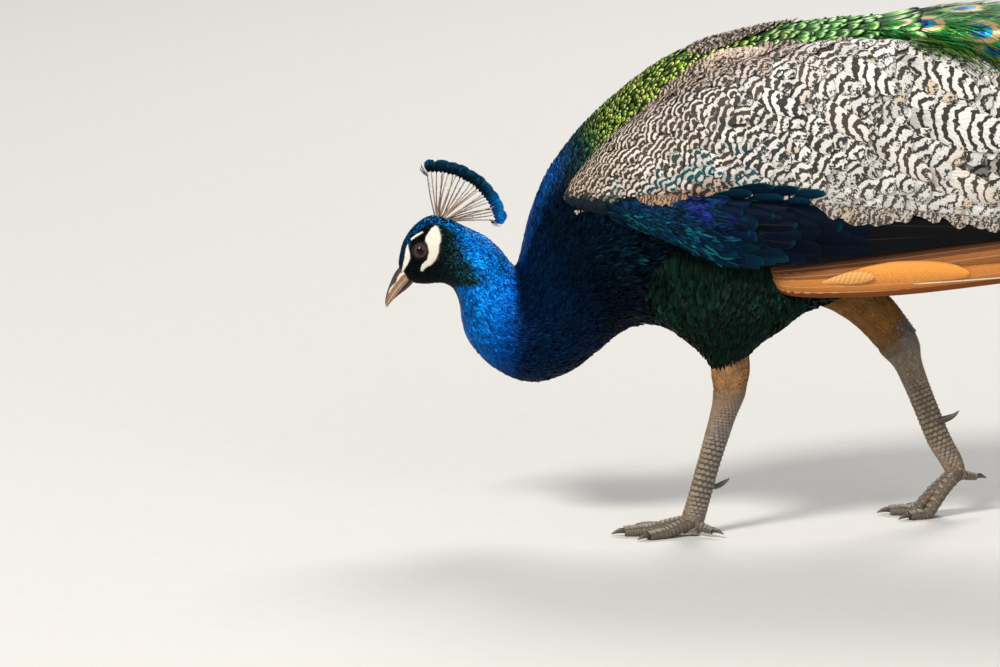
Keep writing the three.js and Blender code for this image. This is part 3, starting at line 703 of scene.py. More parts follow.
# Bare white skin of the face: 1 inside the patch behind the eye, the stripe before it and the
# arc above it. The patch is given by its two edges at each height.
def whiteFace(points):
    x, z, y = points[..., 0], points[..., 2], np.abs(points[..., 1])
    heights = [260.5, 263.5, 268, 273, 280.5, 288.5, 292, 297, 304.5, 306.5]
    leftEdge = [-279, -279, -277.6, -272.4, -270.4, -272, -274.6, -273.4, -268.3, -266]
    rightEdge = [-277, -275, -268, -263.8, -261, -260.4, -258.8, -258.8, -261.2, -263]
    left, right = np.interp(z, heights, leftEdge), np.interp(z, heights, rightEdge)
    patch = smooth(-0.9, 0.5, np.minimum(x - left, right - x)) * smooth(259.5, 261.5, z) * smooth(308, 306, z)
    front = [256, 263, 268, 273, 278, 284, 287.5]
    frontLeft = [-299.5, -297.3, -296.4, -295.2, -294.6, -293.6, -292.4]
    frontRight = [-298.0, -294.8, -291.8, -289.6, -289.8, -291.2, -291.9]
    stripe = smooth(-0.7, 0.4, np.minimum(x - np.interp(z, front, frontLeft), np.interp(z, front, frontRight) - x))
    stripe = stripe * smooth(254.5, 257, z) * smooth(288.5, 286.5, z)
    a, b = np.array([-288.3, 292.6]), np.array([-277.8, 299.8])
    flat = np.stack([x, z], -1) - a
    share = np.clip(flat @ (b - a) / ((b - a) @ (b - a)), 0, 1)
    bowed = flat - share[..., None] * (b - a) - np.array([-0.55, 0.8]) * (1.6 * share * (1 - share))[..., None]
    arc = smooth(1.55, 0.75, norm(bowed, axis=-1) + 0.5 * np.abs(share - 0.45))
    return np.clip(np.maximum(patch, np.maximum(stripe, arc)), 0, 1) * smooth(4, 7, y)


def bodyMarkings(points, k, turn, speckle):
    x, y, z = np.moveaxis(points, -1, 0)
    m = markings
    top = np.abs((turn + pi) % (2 * pi) - pi)
    wander = drift(points, 14.0, 3)
    # neck: bright azure at the front of the bend, navy and then night towards the breast, partly the bird's own
    # blue and partly painted shade where its sheen turns away
    # painted sheen: a bluer patch on the sides where the neck meets the breast
    high = smooth(12.0, 13.0, k) * smooth(15.8, 14.8, k) * smooth(2.0, 1.2, top) * smooth(0.5, 0.9, top)
    # painted highlight: a bright azure rim along the back of the neck
    rim = smooth(0.72, 0.25, top + 0.1 * wander) * smooth(9.6, 10.6, k) * smooth(14.4, 13.2, k)
    tealFlank = smooth(0.55, 0.95, speckle + 0.3 * wander) * smooth(12.8, 14.4, k) * 0.22
    # the bright strands on the upper neck are partly painted highlight
    colour = layered(m["azure"], (m["bright"], smooth(0.2, 1.0, wander * 0.28 + speckle) * smooth(9.4, 7.4, k)),
        (m["navy"], smooth(8.5, 9.7, k + 0.25 * wander)), (m["mid"] * (0.6 + 0.8 * speckle)[..., None],
        smooth(9.3, 10.4, k + 0.3 * wander)), (m["night"], smooth(11.4, 13.0, k + 0.3 * wander) * smooth(0.5, 0.9,
        top)), (m["upper"] * (0.5 + speckle[..., None]), high), (mix(m["azure"], m["bright"], 0.5 * speckle ** 2),
        rim * 0.85), (m["teal"], tealFlank * smooth(0.9, 1.3, top) * smooth(2.4, 1.8, top)))
    # belly and flanks bottle green towards the legs; back teal at the front rim, then green and gold
    green = m["bottle"] * (0.3 + 2.2 * smooth(0.35, 1.0, speckle + 0.25 * wander)[..., None])
    onBack = smooth(1.35, 1.05, top + 0.12 * wander)
    colour = layered(colour, (green, smooth(14.2, 16.0, k) * smooth(0.8, 1.3, top)),
        (m["teal"] * 0.5, onBack * smooth(13.2, 14.0, k)),
        (m["green"], onBack * smooth(13.9, 14.8, k + 0.2 * wander)),
        (m["gold"], onBack * smooth(14.6, 15.6, k + 0.2 * wander) * (0.35 + 0.5 * speckle)))
    # head: blue crown, dark face and ear coverts with teal flecks, dark green throat
    second = (speckle * 7.31) % 1.0
    faceEdge = np.interp(z, [240, 250, 257, 286, 315], [-229, -221, -223, -238, -252])
    belowFace = smooth(-2, 3, z - np.interp(x, [-290, -262, -245, -220], [225, 236, 246, 252]))
    crown = smooth(0.66, 0.5, top - 0.25 * smooth(3.2, 1.5, k)) + smooth(4.6, 5.4, k) * smooth(300, 306, z)
    crown = np.clip(crown, 0, 1)
    face = smooth(4.5, -4.5, x - faceEdge + 5 * wander + 13 * (second - 0.5)) * belowFace * (1 - crown)
    face = np.clip(face, 0, 1)
    flecks = smooth(0.6, 0.95, speckle)
    sparks = (second > 0.86) * smooth(-266, -246, x)
    dark = layered(m["faceGreen"], (m["teal"] * 0.9, flecks * smooth(-256, -234, x) * 0.75 + 0.05 * flecks),
        (m["teal"] * 1.1, sparks * 0.8))
    crownTint = mix(m["navy"] * 0.25, m["bright"], smooth(0.35, 0.8, speckle) * smooth(1.2, 3.4, k + second))
    # bare skin: lores and lids are black, the patches white
    lidX, lidZ = -278.8, 281.5
    lid = smooth(12.0, 9.5, np.hypot(x - lidX, z - lidZ)) * smooth(4, 7, np.abs(y))
    colour = layered(colour, (dark, face), (crownTint, crown * smooth(6.2, 4.8, k)),
        (m["faceGreen"] * 1.5, smooth(2.3, 2.8, top) * smooth(6.4, 5.2, k)), (m["black"], lid))
    white = whiteFace(points)
    cream = mix(m["white"], m["white"] * [1.0, 0.9, 0.66], smooth(0.1, 0.9, drift(points, 6.0, 6)))
    colour = mix(colour, cream * (0.92 + 0.1 * speckle[..., None]), white)
    gloss = 0.8 * (1 - 0.95 * np.maximum(white, lid)) * (1 - 0.3 * face)
    return np.clip(colour, 0, 1), gloss


body, train = lofted(bodyRows), lofted(trainRows)
bodyLast = len(bodyRows) - 1
wings, secondaries, primaries = ({side: lofted(rows, sign) for side, sign in sideSigns.items()}
    for rows in (wingRows, secondaryRows, primaryRows))
thighs, shanks, tarsi = ({side: lofted(rows[side]) for side in sideSigns} for rows in (thighRows, shankRows,
    tarsusRows))

toeValues = {"inner": (0.5, 48, 6.2), "middle": (0.06, 66, 6.8), "outer": (-0.42, 52, 6.2),
    "hind": (pi - 0.5, 22, 5.2), "sole": 1.2}
joints = {"left": np.array([-9, leftLegY, 13.0]), "right": np.array([262, rightLegY, 44.0])}
spurPaths = {"left": [[6, leftLegY + 2, 50, 4.2], [16, leftLegY + 7, 49, 3.6], [24, leftLegY + 10, 52, 2.2],
    [29, leftLegY + 11, 56, 0.5]], "right": [[238, rightLegY - 2, 97, 4.2], [250, rightLegY - 6, 101, 3.6],
    [258, rightLegY - 8, 105, 2.2], [263, rightLegY - 9, 110, 0.5]]}


# Toe and claw as limbs that leave the joint at an angle from straight ahead.
def toeLimbs(name, sideName):
    turn, length, radius = toeValues[name]
    joint, sign = joints[sideName], sideSigns[sideName]
    ahead = np.array([-cos(turn), sign * sin(turn)])
    low, lift = radius - toeValues["sole"], joints[sideName][2] - 8

    def at(reach, z, r):
        return [*(joint[:2] + ahead * reach), z, r]
    if name == "hind":
        toe = [at(0, joint[2] - 1, radius), at(0.6 * length, joint[2] - 4, radius * 0.9),
            at(length, joint[2] - 6, radius * 0.7)]
        base = joint[2] - 6
    else:
        toe = [at(0, joint[2], radius * 1.25), at(0.3 * length, low + lift * 0.55 + 2, radius * 1.1),
            at(0.62 * length, low, radius), at(0.85 * length, low - 0.4, radius * 0.88),
            at(length, low - 0.9, radius * 0.78)]
        base = low - 0.9
    claw = [at(length - 2.5, base + 0.8, 3.1), at(length + 5, base + 0.9, 2.7), at(length + 10, base - 0.6, 1.7),
        at(length + 14, base - 2.4, 0.5)]
    across = (ahead[1], -ahead[0], 0)
    return limbed(toe, across), limbed(claw, across, 0.75)


skinValues = {"sides": 176, "headRings": 104, "bodyRings": 150, "lidRadius": 7.85, "lidThick": 1.0}
depths = [0.7, 0.8, 0.9, 0.9, 1.0, 1.2, 1.5, 1.8, 2.0, 2.0, 2.0, 2.2, 2.5, 2.8, 3.0, 3, 3, 3, 3, 3, 3, 3, 3]


def skinDepth(k):
    return np.interp(k, np.arange(bodyLast + 1), depths)


# The bare white skin of the face stands as high as the tufts round it.
def bodySkinGrow(t, turn):
    return -skinDepth(t * bodyLast) * (1 - 0.9 * whiteFace(body(t, turn)))


headEnd = 6.0 / bodyLast
ringPlaces = np.concatenate([np.linspace(0, headEnd, skinValues["headRings"]),
    np.linspace(headEnd, 1, skinValues["bodyRings"])[1:]])
skinParts = []


def addSkin(grid, colour):
    points, triangles, t, turn = grid
    skinParts.append((points, triangles, colour(points, t, turn)))


def bodySkinTint(points, t, turn):
    colour, _ = bodyMarkings(points, t * bodyLast, turn, np.full(len(points), 0.35))
    # painted shade: skin under the coat is darker than its markings, except on the bare white patches
    return mix(colour * 0.6, colour, whiteFace(points))


def evenTint(*colour):
    return lambda points, t, turn: np.tile(np.array(colour), (len(points), 1))


# The lid is a soft ring round the eyeball, a little longer than high.
def lidRing(sign, radius, thick):
    def surface(t, turn, grow=0.0):
        t, turn, grow = np.broadcast_arrays(np.asarray(t, float), turn, grow)
        angle = 2 * pi * t
        reach = radius * (1 + 0.06 * np.cos(2 * angle)) + (thick + grow) * np.cos(turn) * 0.9
        outward = sign * (eyeY + np.sqrt(np.maximum(81.0 - radius ** 2, 1)) + 0.2 + (thick + grow) * np.sin(turn)
            * (1.0 + 0.25 * np.sin(angle)))
        return np.stack([eyeX + reach * np.cos(angle), outward, eyeZ + reach * np.sin(angle)], -1)
    return surface


def closedRing(surface, around, sides):
    t2, r2 = np.meshgrid(np.linspace(0, 1, around, endpoint=False), np.linspace(0, 2 * pi, sides, endpoint=False),
        indexing="ij")
    points = surface(t2, r2).reshape(-1, 3)
    return points, outwardTriangles(points, gridFaces(around, sides, True, True)), t2.ravel(), r2.ravel()


addSkin(closedGrid(body, ringPlaces, skinValues["sides"], bodySkinGrow), bodySkinTint)
for sign in (-1, 1):
    ring = closedRing(lidRing(sign, skinValues["lidRadius"], skinValues["lidThick"]), 72, 12)
    addSkin(ring, evenTint(0.012, 0.011, 0.012))
for side in sideSigns:
    addSkin(closedGrid(wings[side], np.linspace(0, 1, 46), 40, -3.5), evenTint(0.1, 0.08, 0.06))
    addSkin(closedGrid(thighs[side], np.linspace(0, 1, 30), 40, -3.0), evenTint(0.004, 0.012, 0.011))
    addSkin(closedGrid(shanks[side], np.linspace(0, 1, 26), 36, -0.9), evenTint(0.16, 0.1, 0.055))
    addSkin(closedGrid(tarsi[side], np.linspace(0, 1, 64), 36, -0.7), evenTint(0.09, 0.07, 0.05))
    for name in ("inner", "middle", "outer", "hind"):
        toe, _ = toeLimbs(name, side)
        addSkin(closedGrid(toe, np.linspace(0, 1, 26), 20, -0.55), evenTint(0.125, 0.098, 0.07))
    heel = limbed([[*(joints[side] - [8.2, 0, 0]), 1.5], [*(joints[side] - [5.5, 0, 0]), 6.6], [*joints[side], 8.9],
        [*(joints[side] + [5.5, 0, 0]), 6.6], [*(joints[side] + [8.2, 0, 0]), 1.5]], (0, -1, 0))
    addSkin(closedGrid(heel, np.linspace(0, 1, 22), 28, 0.0), evenTint(0.09, 0.07, 0.05))


def buildSkin():
    made = []
    for i, (points, triangles, colour) in enumerate(skinParts):
        points = points.copy()
        points[:, 2] = np.maximum(points[:, 2], 0.15)
        made.append(makePiece("Skin" if i == 0 else f"SkinPart{i}", points, triangles, finishes["skin"], None,
            tints={"tint": colour}))
    base, others = made[0], made[1:]
    group = bpy.data.collections.new("SkinParts")
    bpy.context.scene.collection.children.link(group)
    for part in others:
        bpy.context.scene.collection.objects.unlink(part)
        group.objects.link(part)
    joiner = base.modifiers.new("Join", "BOOLEAN")
    joiner.operation, joiner.operand_type, joiner.collection = "UNION", "COLLECTION", group
    joiner.solver = "MANIFOLD"
    bpy.context.view_layer.update()
    evaluated = base.evaluated_get(bpy.context.evaluated_depsgraph_get())
    mesh = bpy.data.meshes.new_from_object(evaluated)
    base.modifiers.clear()
    base.data = mesh
    for part in others:
        bpy.data.objects.remove(part)
    bpy.data.collections.remove(group)
    return base


skin = buildSkin()
print("skin:", len(skin.data.polygons), "faces")
dress(skin, ("head", "neck_upper", "neck_lower", "trunk", "thigh_left", "thigh_right", "shank_left",
    "shank_right", "tarsus_left", "tarsus_right", "foot_left", "foot_right", "wing_left", "wing_right"))
joinTint = np.zeros(len(skin.data.vertices) * 4, np.float32)
skin.data.color_attributes["tint"].data.foreach_get("color", joinTint)
joinTint = joinTint.reshape(-1, 4)
joinTint[joinTint[:, :3].min(1) > 0.95] = (0.012, 0.012, 0.012, 1)  # new vertices along the joins
skin.data.color_attributes["tint"].data.foreach_set("color", joinTint.ravel())


eyeValues = {"radius": 9.0, "corneaRise": 0.45}


def buildEye(side):
    sign = sideSigns[side]
    axis = unit(np.array([-0.1, sign * 1.0, 0.05]))
    upward = unit(np.cross(np.cross(axis, [0, 0, 1]), axis))
    across = np.cross(axis, upward)
    angle, turn = np.meshgrid(np.linspace(0, 1, 40) ** 0.9 * 2.2, np.linspace(0, 2 * pi, 65), indexing="ij")
    reach = eyeValues["radius"] + eyeValues["corneaRise"] * np.exp(-(angle / 0.5) ** 2)
    points = (np.array([eyeX, sign * eyeY, eyeZ]) + axis * (np.cos(angle) * reach)[..., None]
        + upward * (np.sin(angle) * np.cos(turn) * reach)[..., None]
        + across * (np.sin(angle) * np.sin(turn) * reach)[..., None])
    uv = np.stack([turn / (2 * pi), np.sin(np.minimum(angle, 1.57)) * eyeValues["radius"] / 8.2], -1)
    faces = gridFaces(*angle.shape)
    a, b, c = (points.reshape(-1, 3)[faces[:, i]] for i in range(3))
    if np.sum(np.cross(b - a, c - a) * axis) < 0:
        faces = faces[:, ::-1]
    makePiece(f"eyeball_{side}", points.reshape(-1, 3), faces, finishes["eye"], "eye", (f"eye_{side}",),
        {"vane": uv.reshape(-1, 2)})


for side in sideSigns:
    buildEye(side)
print("eyes made")


billValues = {"nostrilT": 0.33, "nostrilTurn": 0.95, "nostrilDepth": 0.9, "cere": (0.78, 0.7, 0.55),
    "culmen": (0.035, 0.022, 0.015), "side": (0.24, 0.135, 0.065), "edge": (0.52, 0.36, 0.2), "overlap": 0.75}


def wrapTurn(turn):
    return (turn + pi) % (2 * pi) - pi


def buildBill(name, rows, rings, sides, upper):
    surface, v = lofted(rows), billValues

    def shape(t, turn):
        r = np.abs(wrapTurn(turn))
        if not upper:  # its upper edge closes against the upper bill
            waves = 0.06 * np.sin(t * 60) * smooth(0.1, 0.5, t)
            return v["overlap"] * smooth(1.5, 0.9, r) * smooth(1.02, 0.9, t) + waves
        hollow = np.exp(-((t - v["nostrilT"]) / 0.075) ** 2 - ((r - v["nostrilTurn"]) / 0.15) ** 2)
        rim = np.exp(-((t - v["nostrilT"]) / 0.14) ** 2 - ((r - v["nostrilTurn"]) / 0.4) ** 2)
        ridge = 0.35 * np.exp(-(r / 0.3) ** 2)
        return -v["nostrilDepth"] * 1.6 * hollow + 0.7 * rim + ridge - 0.25 * np.exp(-((r - 2.25) / 0.16) ** 2)
    points, triangles, t, turn = closedGrid(surface, np.linspace(0, 1, rings), sides, shape)
    r = np.abs(wrapTurn(turn))
    streak = 0.5 + 0.5 * drift(points * [1, 2, 1], 3.0, 11)
    pale = np.clip(smooth(1.9, 2.35, r) * 0.75 + 0.25 * smooth(0.8, 1.0, t), 0, 1)
    colour = layered(v["culmen"], (v["side"], smooth(0.25, 0.9, r + 0.3 * (streak - 0.5))), (v["edge"], pale))
    colour = colour * (0.55 + 0.7 * streak)[:, None]
    if upper:
        # the share of the bill's side from the culmen to the cutting edge
        f = (1 - np.cos(r)) / 2
        waver = f + 0.05 * drift(points * [1, 2, 1], 5.0, 12)

        def band(middle, slope, half, start, end):
            return (np.exp(-((waver - middle - slope * t) / half) ** 2) * smooth(start - 0.1, start,
                t) * smooth(end + 0.12, end, t))
        for tone, share, shape in (((0.34, 0.14, 0.05), 0.85, (0.6, -0.3, 0.1, 0.02, 0.75)),
                ((0.13, 0.06, 0.04), 0.75, (0.5, -0.32, 0.05, 0.15, 0.75)),
                ((0.62, 0.44, 0.28), 0.8, (0.74, -0.26, 0.07, 0.12, 0.8)),
                ((0.36, 0.19, 0.11), 0.7, (0.95, -0.1, 0.12, 0.15, 0.85)),
                ((0.018, 0.01, 0.008), 0.92, (0.16, -0.1, 0.13, 0.02, 0.42)),
                (v["cere"], 1.0, (0.4, -0.42, 0.07, -0.05, 0.5))):
            colour = mix(colour, tone, share * band(*shape))
        # painted shade: the nostril dark in its hollow, and the underside of the upper bill darkened along its
        # cutting edge
        nostril = np.exp(-((t - v["nostrilT"]) / 0.07) ** 2 - ((r - v["nostrilTurn"]) / 0.12) ** 2)
        colour = layered(colour, ((0.4, 0.29, 0.13), smooth(0.8, 0.95, t) * 0.7),
            ((0.004, 0.003, 0.003), np.clip(nostril * 1.8, 0, 1)),
            ((0.75, 0.66, 0.52), np.exp(-((t - 0.03) / 0.04) ** 2) * smooth(0.9, 0.5, r) * 0.7),
            ((0.03, 0.018, 0.013), smooth(2.72, 2.95, r) * 0.9))
    else:
        # painted shade: the lower bill darkened overall as it lies in the upper bill's shadow, darkest along its
        # top under the upper bill
        colour = layered(colour * 0.18, ((0.4, 0.26, 0.17), smooth(0.22, 0.06, t) * 0.5),
            ((0.012, 0.008, 0.007), smooth(1.35, 0.95, r) * 0.9))
    makePiece(f"{name}_horn", points, triangles, finishes["horn"], "bill_horn", (name,), tints={"tint": colour})


buildBill("bill_upper", upperBillRows, 90, 72, True)
buildBill("bill_lower", lowerBillRows, 70, 60, False)
print("bill made")


# Outlines: the share of the half width at v along a feather.
def pointed(v):
    return np.clip(0.55 + 0.9 * v, 0, 1) * np.clip(1 - v ** 3.2, 0.04, 1)


def rounded(v):
    return np.clip(0.6 + 1.2 * v, 0, 1) * np.sqrt(np.clip(1 - v ** 5, 0.012, 1))


def bladed(v):
    return np.clip(0.5 + 2.2 * v, 0, 1) * np.sqrt(np.clip(1 - v ** 4, 0.004, 1))


# How bare a place of the head is: 1 on the eyeball and the lids.
def nearEye(points, inner, outer):
    d = np.hypot((points[..., 0] - eyeX) / 1.05, points[..., 2] - eyeZ)
    return smooth(outer, inner, d) * smooth(4, 7, np.abs(points[..., 1]))


def paintCoat(coat, surface, last, paint, seed, low=0.35, contrast=0.55):
    rng = default_rng(seed)
    root = surface(coat["t"], coat["turn"])
    speckle = rng.random(coat["count"])
    colour, gloss = paint(root, coat["t"] * last, coat["turn"], speckle)
    colour = colour * np.exp(contrast * (rng.random(coat["count"]) - 0.6))[:, None]
    # painted shade: each tuft darker towards its root, where the tufts over it cover it; low is its share at the
    # root
    shade = low + (1 - low) * coat["v"] ** 1.1
    return colour[coat["each"]] * shade[:, None], gloss[coat["each"]]


def bodyCoat(name, slot, count, spanK, density, length, halfWidth, grid, seed, outline=bladed, spread=0.35,
        lift=0.3, kind="small", sweep=0.25, low=0.35, contrast=0.55, raised=0.0):
    spanT, spanTurn = (spanK[0] / bodyLast, spanK[1] / bodyLast), fullTurn
    t, turn = scatter(body, count, spanT, spanTurn, lambda a, b, p: density(a * bodyLast, b, p), seed)
    rng = default_rng(seed + 1)
    k = t * bodyLast
    n = len(t)
    size = length(k) * np.exp(rng.normal(0, 0.13, n))
    wide = halfWidth(k) * np.exp(rng.normal(0, 0.15, n))
    yaw = rng.normal(0, spread, n) * 0.5 + 0.16 * drift(body(t, turn), 26.0, 5)
    deep = -skinDepth(k) - 0.15
    tips = lift * (rng.random(n) - 0.65) + raised * rng.random(n) ** 4
    coat = layFeathers(body, t, turn, size, wide, yaw, outline, deep, tips, grid, 0.3,
        rng.normal(0, sweep, n) * 0.5, 0.6, rng.normal(0, 0.25, n))
    tint, gloss = paintCoat(coat, body, bodyLast, bodyMarkings, seed + 2, low, contrast)
    coatPiece(name, coat, kind, slot, tuftBake(coat, spanT, spanTurn), tint, {"gloss": gloss})


headCoat = {"count": 8600, "length": [1.5, 1.7, 2.0, 2.1, 2.3, 2.7, 3.6], "halfWidth": 0.62,
    "flow": (1.0, 0.0, 0.8)}


def headDensity(k, turn, points):
    lids = nearEye(points, 8.4, 9.0)
    bill = smooth(0.15, 0.35, k)
    here, ahead = whiteFace(points), whiteFace(points + headCoat["flow"])
    clear = (1 - smooth(0.1, 0.3, here)) * (1 - smooth(0.35, 0.65, ahead))
    return (1 - lids) * bill * (1 + 0.5 * smooth(4.0, 2.0, k)) * clear


bodyCoat("head_plumage", "blue_plumage", headCoat["count"], (0.1, 6.2), headDensity,
    lambda k: np.interp(k, np.arange(7), headCoat["length"]), lambda k: headCoat["halfWidth"]
    + 0.06 * np.maximum(k - 3, 0), (2, 2), 21, rounded, spread=0.4, lift=0.35, low=0.38, contrast=0.95)
print("head coat laid")


def neckLength(k):
    return np.interp(k, [5.6, 6.5, 8, 11, 13.5], [3.6, 5.5, 8.2, 10.5, 12.0])


def neckWidth(k):
    return np.interp(k, [5.6, 8, 11, 13.5], [0.55, 0.68, 0.85, 1.05])


for name, span, count, seed in (("neck_plumage_front", (5.7, 9.6), 13600, 31), ("neck_plumage_bend", (9.2, 13.2),
        13600, 41)):
    bodyCoat(name, "blue_plumage" if seed == 31 else "navy_plumage", count, span, lambda k, turn, points: 1.0,
        neckLength, neckWidth, (2, 3), seed, bladed, spread=0.3, lift=0.45, kind="silky", sweep=0.3, low=0.22,
        contrast=0.8, raised=0.9)
print("neck coat laid")


# Breast, flanks and belly: longer, looser feathers, none on the back or under the wings.
def breastDensity(k, turn, points):
    top = np.abs(wrapTurn(turn))
    back = smooth(1.15, 1.3, top + 0.06 * np.sin(k * 9))
    underWing = 1 - 0.9 * smooth(300, 330, points[..., 2]) * smooth(15.6, 16.4, k)
    return back * underWing + 0.25 * smooth(14.6, 13.6, k)


bodyCoat("breast_plumage", "navy_plumage", 10300, (12.6, 20.6), breastDensity,
    lambda k: np.interp(k, [12.6, 15, 19], [12, 17, 22]), lambda k: np.interp(k, [12.6, 15, 19], [1.6, 2.6, 3.6]),
    (2, 4), 51, pointed, spread=0.35, lift=0.6, sweep=0.3, low=0.25, contrast=0.7, raised=1.2)
print("breast coat laid")


# Rows of overlapping scales, each row half a step aside from the one before, that grow from
# front to rear. pitch is the step between rows at k.
backValues = {"pitchK": [12.6, 13.6, 14.4, 15.2, 16.2, 17.2, 18.2, 19.4, 20.4, 21.5],
    "pitch": [2.2, 2.5, 2.9, 3.6, 4.8, 6.4, 8.2, 10.5, 13.0, 15.0]}


def scaleRows(surface, last, startK, endK, pitchK, pitch, halfTurn, seed):
    rng = default_rng(seed)
    k, places, odd = startK, [], 0
    while k < endK:
        t = k / last
        step = np.interp(k, pitchK, pitch)
        limit = halfTurn(k) if callable(halfTurn) else halfTurn
        turns = np.linspace(-limit, limit, 161)
        reach = ringReach(surface, t, turns)
        reach -= reach[80]
        wide = step * 1.12
        spots = (np.arange(-70, 71) + 0.5 * odd) * wide
        spots = spots[(spots > reach[0]) & (spots < reach[-1])]
        turn = np.interp(spots + rng.normal(0, 0.06, len(spots)) * wide, reach, turns)
        places.append(np.stack([np.full(len(spots), t) + rng.normal(0, 0.04, len(spots)) * 0.02 * step / 10, turn,
            np.full(len(spots), step)], 1))
        k += step * 1.3 / max(aheadRate(surface, t, 0.0) / last, 1e-6)
        odd = 1 - odd
    return np.concatenate(places)


def scaleOutline(v):
    return np.clip(0.5 + 0.9 * v, 0, 1) * np.sqrt(np.clip(1 - np.clip((v - 0.35) / 0.65, 0, 1) ** 2.6, 0.003, 1))


def buildBackScales():
    v = backValues
    spots = scaleRows(body, bodyLast, 12.7, 21.3, v["pitchK"], v["pitch"],
        lambda k: np.interp(k, [12.7, 13.5, 15, 21], [0.5, 0.9, 1.28, 1.3]), 61)
    rng = default_rng(62)
    loose = smooth(18.0, 15.5, spots[:, 0] * bodyLast)  # small scales lie less evenly
    spots[:, 0] += rng.normal(0, 0.3, len(spots)) * loose * spots[:, 2] / 1100
    spots[:, 1] += rng.normal(0, 0.28, len(spots)) * loose * spots[:, 2] / 62
    grids = np.digitize(spots[:, 0] * bodyLast, [15.6, 18.0])
    coats = []
    for number, grid in enumerate(((2, 4), (4, 6), (6, 8))):  # few faces on the smallest
        t, turn, step = spots[grids == number].T
        n = len(t)
        step = step * np.exp(rng.normal(0, 0.12, n))
        proud = smooth(18.5, 15.5, t * bodyLast)
        coats.append(layFeathers(body, t, turn, step * 2.7, step * 0.7, rng.normal(0, 0.12 + 0.14 * proud, n),
            scaleOutline, -2.2, 0.1 + (0.35 + 0.5 * proud) * rng.random(n), grid, 0.26, 0.0, 0.7,
            rng.normal(0, 0.12, n)))
    coat = joined(coats)
    t, turn, each = coat["t"], coat["turn"], coat["each"]
    n, k = len(t), t * bodyLast
    share, pick = rng.random(n), rng.random(n)
    colour, _ = bodyMarkings(body(t, turn), k, turn, share)
    green = smooth(13.9, 14.9, k)
    front = layered((0.035, 0.15, 0.012), ((0.34, 0.5, 0.05), share ** 1.2),
        ((0.012, 0.1, 0.03), smooth(0.75, 1.15, np.abs(turn)) * 0.75))
    rear = mix((0.04, 0.38, 0.055), (0.2, 0.66, 0.1), share)
    base = mix(colour, mix(front, rear, smooth(16.4, 18.2, k)), green)
    base = base * np.exp(rng.normal(-0.1, 0.5, n) * mix(1.0, 0.4, smooth(15, 18, k)))[:, None]
    # painted highlights: lit tips on the front scales, and the glint colours of the highlight crescents; the
    # pinkish ones on the rear scales also stand for bronze centres
    lit = smooth(0.08, 0.5, pick) * smooth(1.25, 0.8, np.abs(turn) * smooth(18.0, 16.0, k) + 0.2 * share)
    glint = layered(mix(base, (0.86, 0.9, 0.22), green * lit * smooth(18.2, 16.6, k)),
        ((0.72, 0.96, 0.5), smooth(16.4, 18.0, k) * (0.45 + 0.55 * pick)),
        ((0.8, 0.7, 0.58), smooth(17.3, 19.0, k) * (share < 0.35) * 0.8))
    # painted shade: each scale darker towards its root, where the scales over it cover it
    paintedShade = (0.16 + 0.84 * smooth(0.35, 0.8, coat["v"]))[:, None]
    coatPiece("back_scales", coat, "scales", "green_plumage", tuftBake(coat, (12.5 / 22, 1), (-1.5, 1.5), 0.01),
        base[each] * paintedShade, {"gloss": 0.45}, glint=glint[each])
    print("back scales laid:", n)


buildBackScales()


# A long feather follows its own line over a surface from (t0, turn0) to (t1, turn1), and its
# width is measured off across the surface at every step.
def layLong(surface, t0, t1, turn0, turn1, halfWidth, outline, low, high, grid, camber=0.12, power=1.0, bow=0.0):
    n = len(t0)
    t0, t1, turn0, turn1, halfWidth, low, high, bow = columns(n, t0, t1, turn0, turn1, halfWidth, low, high, bow)
    u, v = featherGrid(grid)
    t = t0 + (t1 - t0) * v
    turn = turn0 + (turn1 - turn0) * v + bow * v * (1 - v)
    step = 1e-3
    across = norm(surface(t, turn + step) - surface(t, turn - step), axis=-1) / (2 * step)
    width = halfWidth * outline(v)
    grow = low + (high - low) * v ** power - camber * width * u * u
    points = surface(t, turn + u * np.minimum(width / np.maximum(across, 1e-3), 0.85), grow)
    _, alongT, alongTurn, normal = frameAt(surface, t0[:, 0], turn0[:, 0])
    facing = np.sum(np.cross(alongT, alongTurn) * normal)
    return asCoat(points, grid, u, v, t0[:, 0], turn0[:, 0], facing)


# A closed body under large feathers, in one colour, with its own unwrap round and along it.
def plainCore(name, surface, sides, grow, kind, slot, colour, replaced=(), rings=40, gloss=0.0):
    points, faces, t, turn = closedGrid(surface, np.linspace(0, 1, rings), sides, grow)
    uv = np.stack([(turn / (2 * pi)) % 1.0, np.clip(t, 0, 1)], 1)
    tint = colour(points, t, turn) if callable(colour) else colour
    makePiece(name, points, faces, finishes[kind], slot, replaced, {"vane": uv, "OFBake": uv}, {"tint": tint},
        {"gloss": gloss, "shaft": 0.0})


def lobed(v):
    return np.sqrt(np.clip(1 - (2 * v - 1) ** 2, 0.002, 1)) * np.clip(0.55 + v, 0, 1)


# Straight sides from a point in front to a round end.
def spade(v):
    return np.clip(1.7 * v, 0.03, 1) * np.sqrt(np.clip(1 - np.clip((v - 0.6) / 0.4, 0, 1) ** 2.2, 0.004, 1))


def quill(v):
    return np.clip(0.55 + 2.5 * v, 0, 1) * np.sqrt(np.clip(1 - np.clip((v - 0.72) / 0.28, 0, 1) ** 2.2, 0.004, 1))


wingLast = len(wingRows) - 1
wingValues = {"pitchK": [0, 1, 2, 3, 4, 5, 6, 7.5], "pitch": [3.2, 4.8, 7.4, 11.0, 15.5, 18.5, 20.0, 20.5],
    "bar": [3.4, 3.9, 5.2, 7.4, 9.4, 11.0, 12.0, 12.4], "rear": 425}
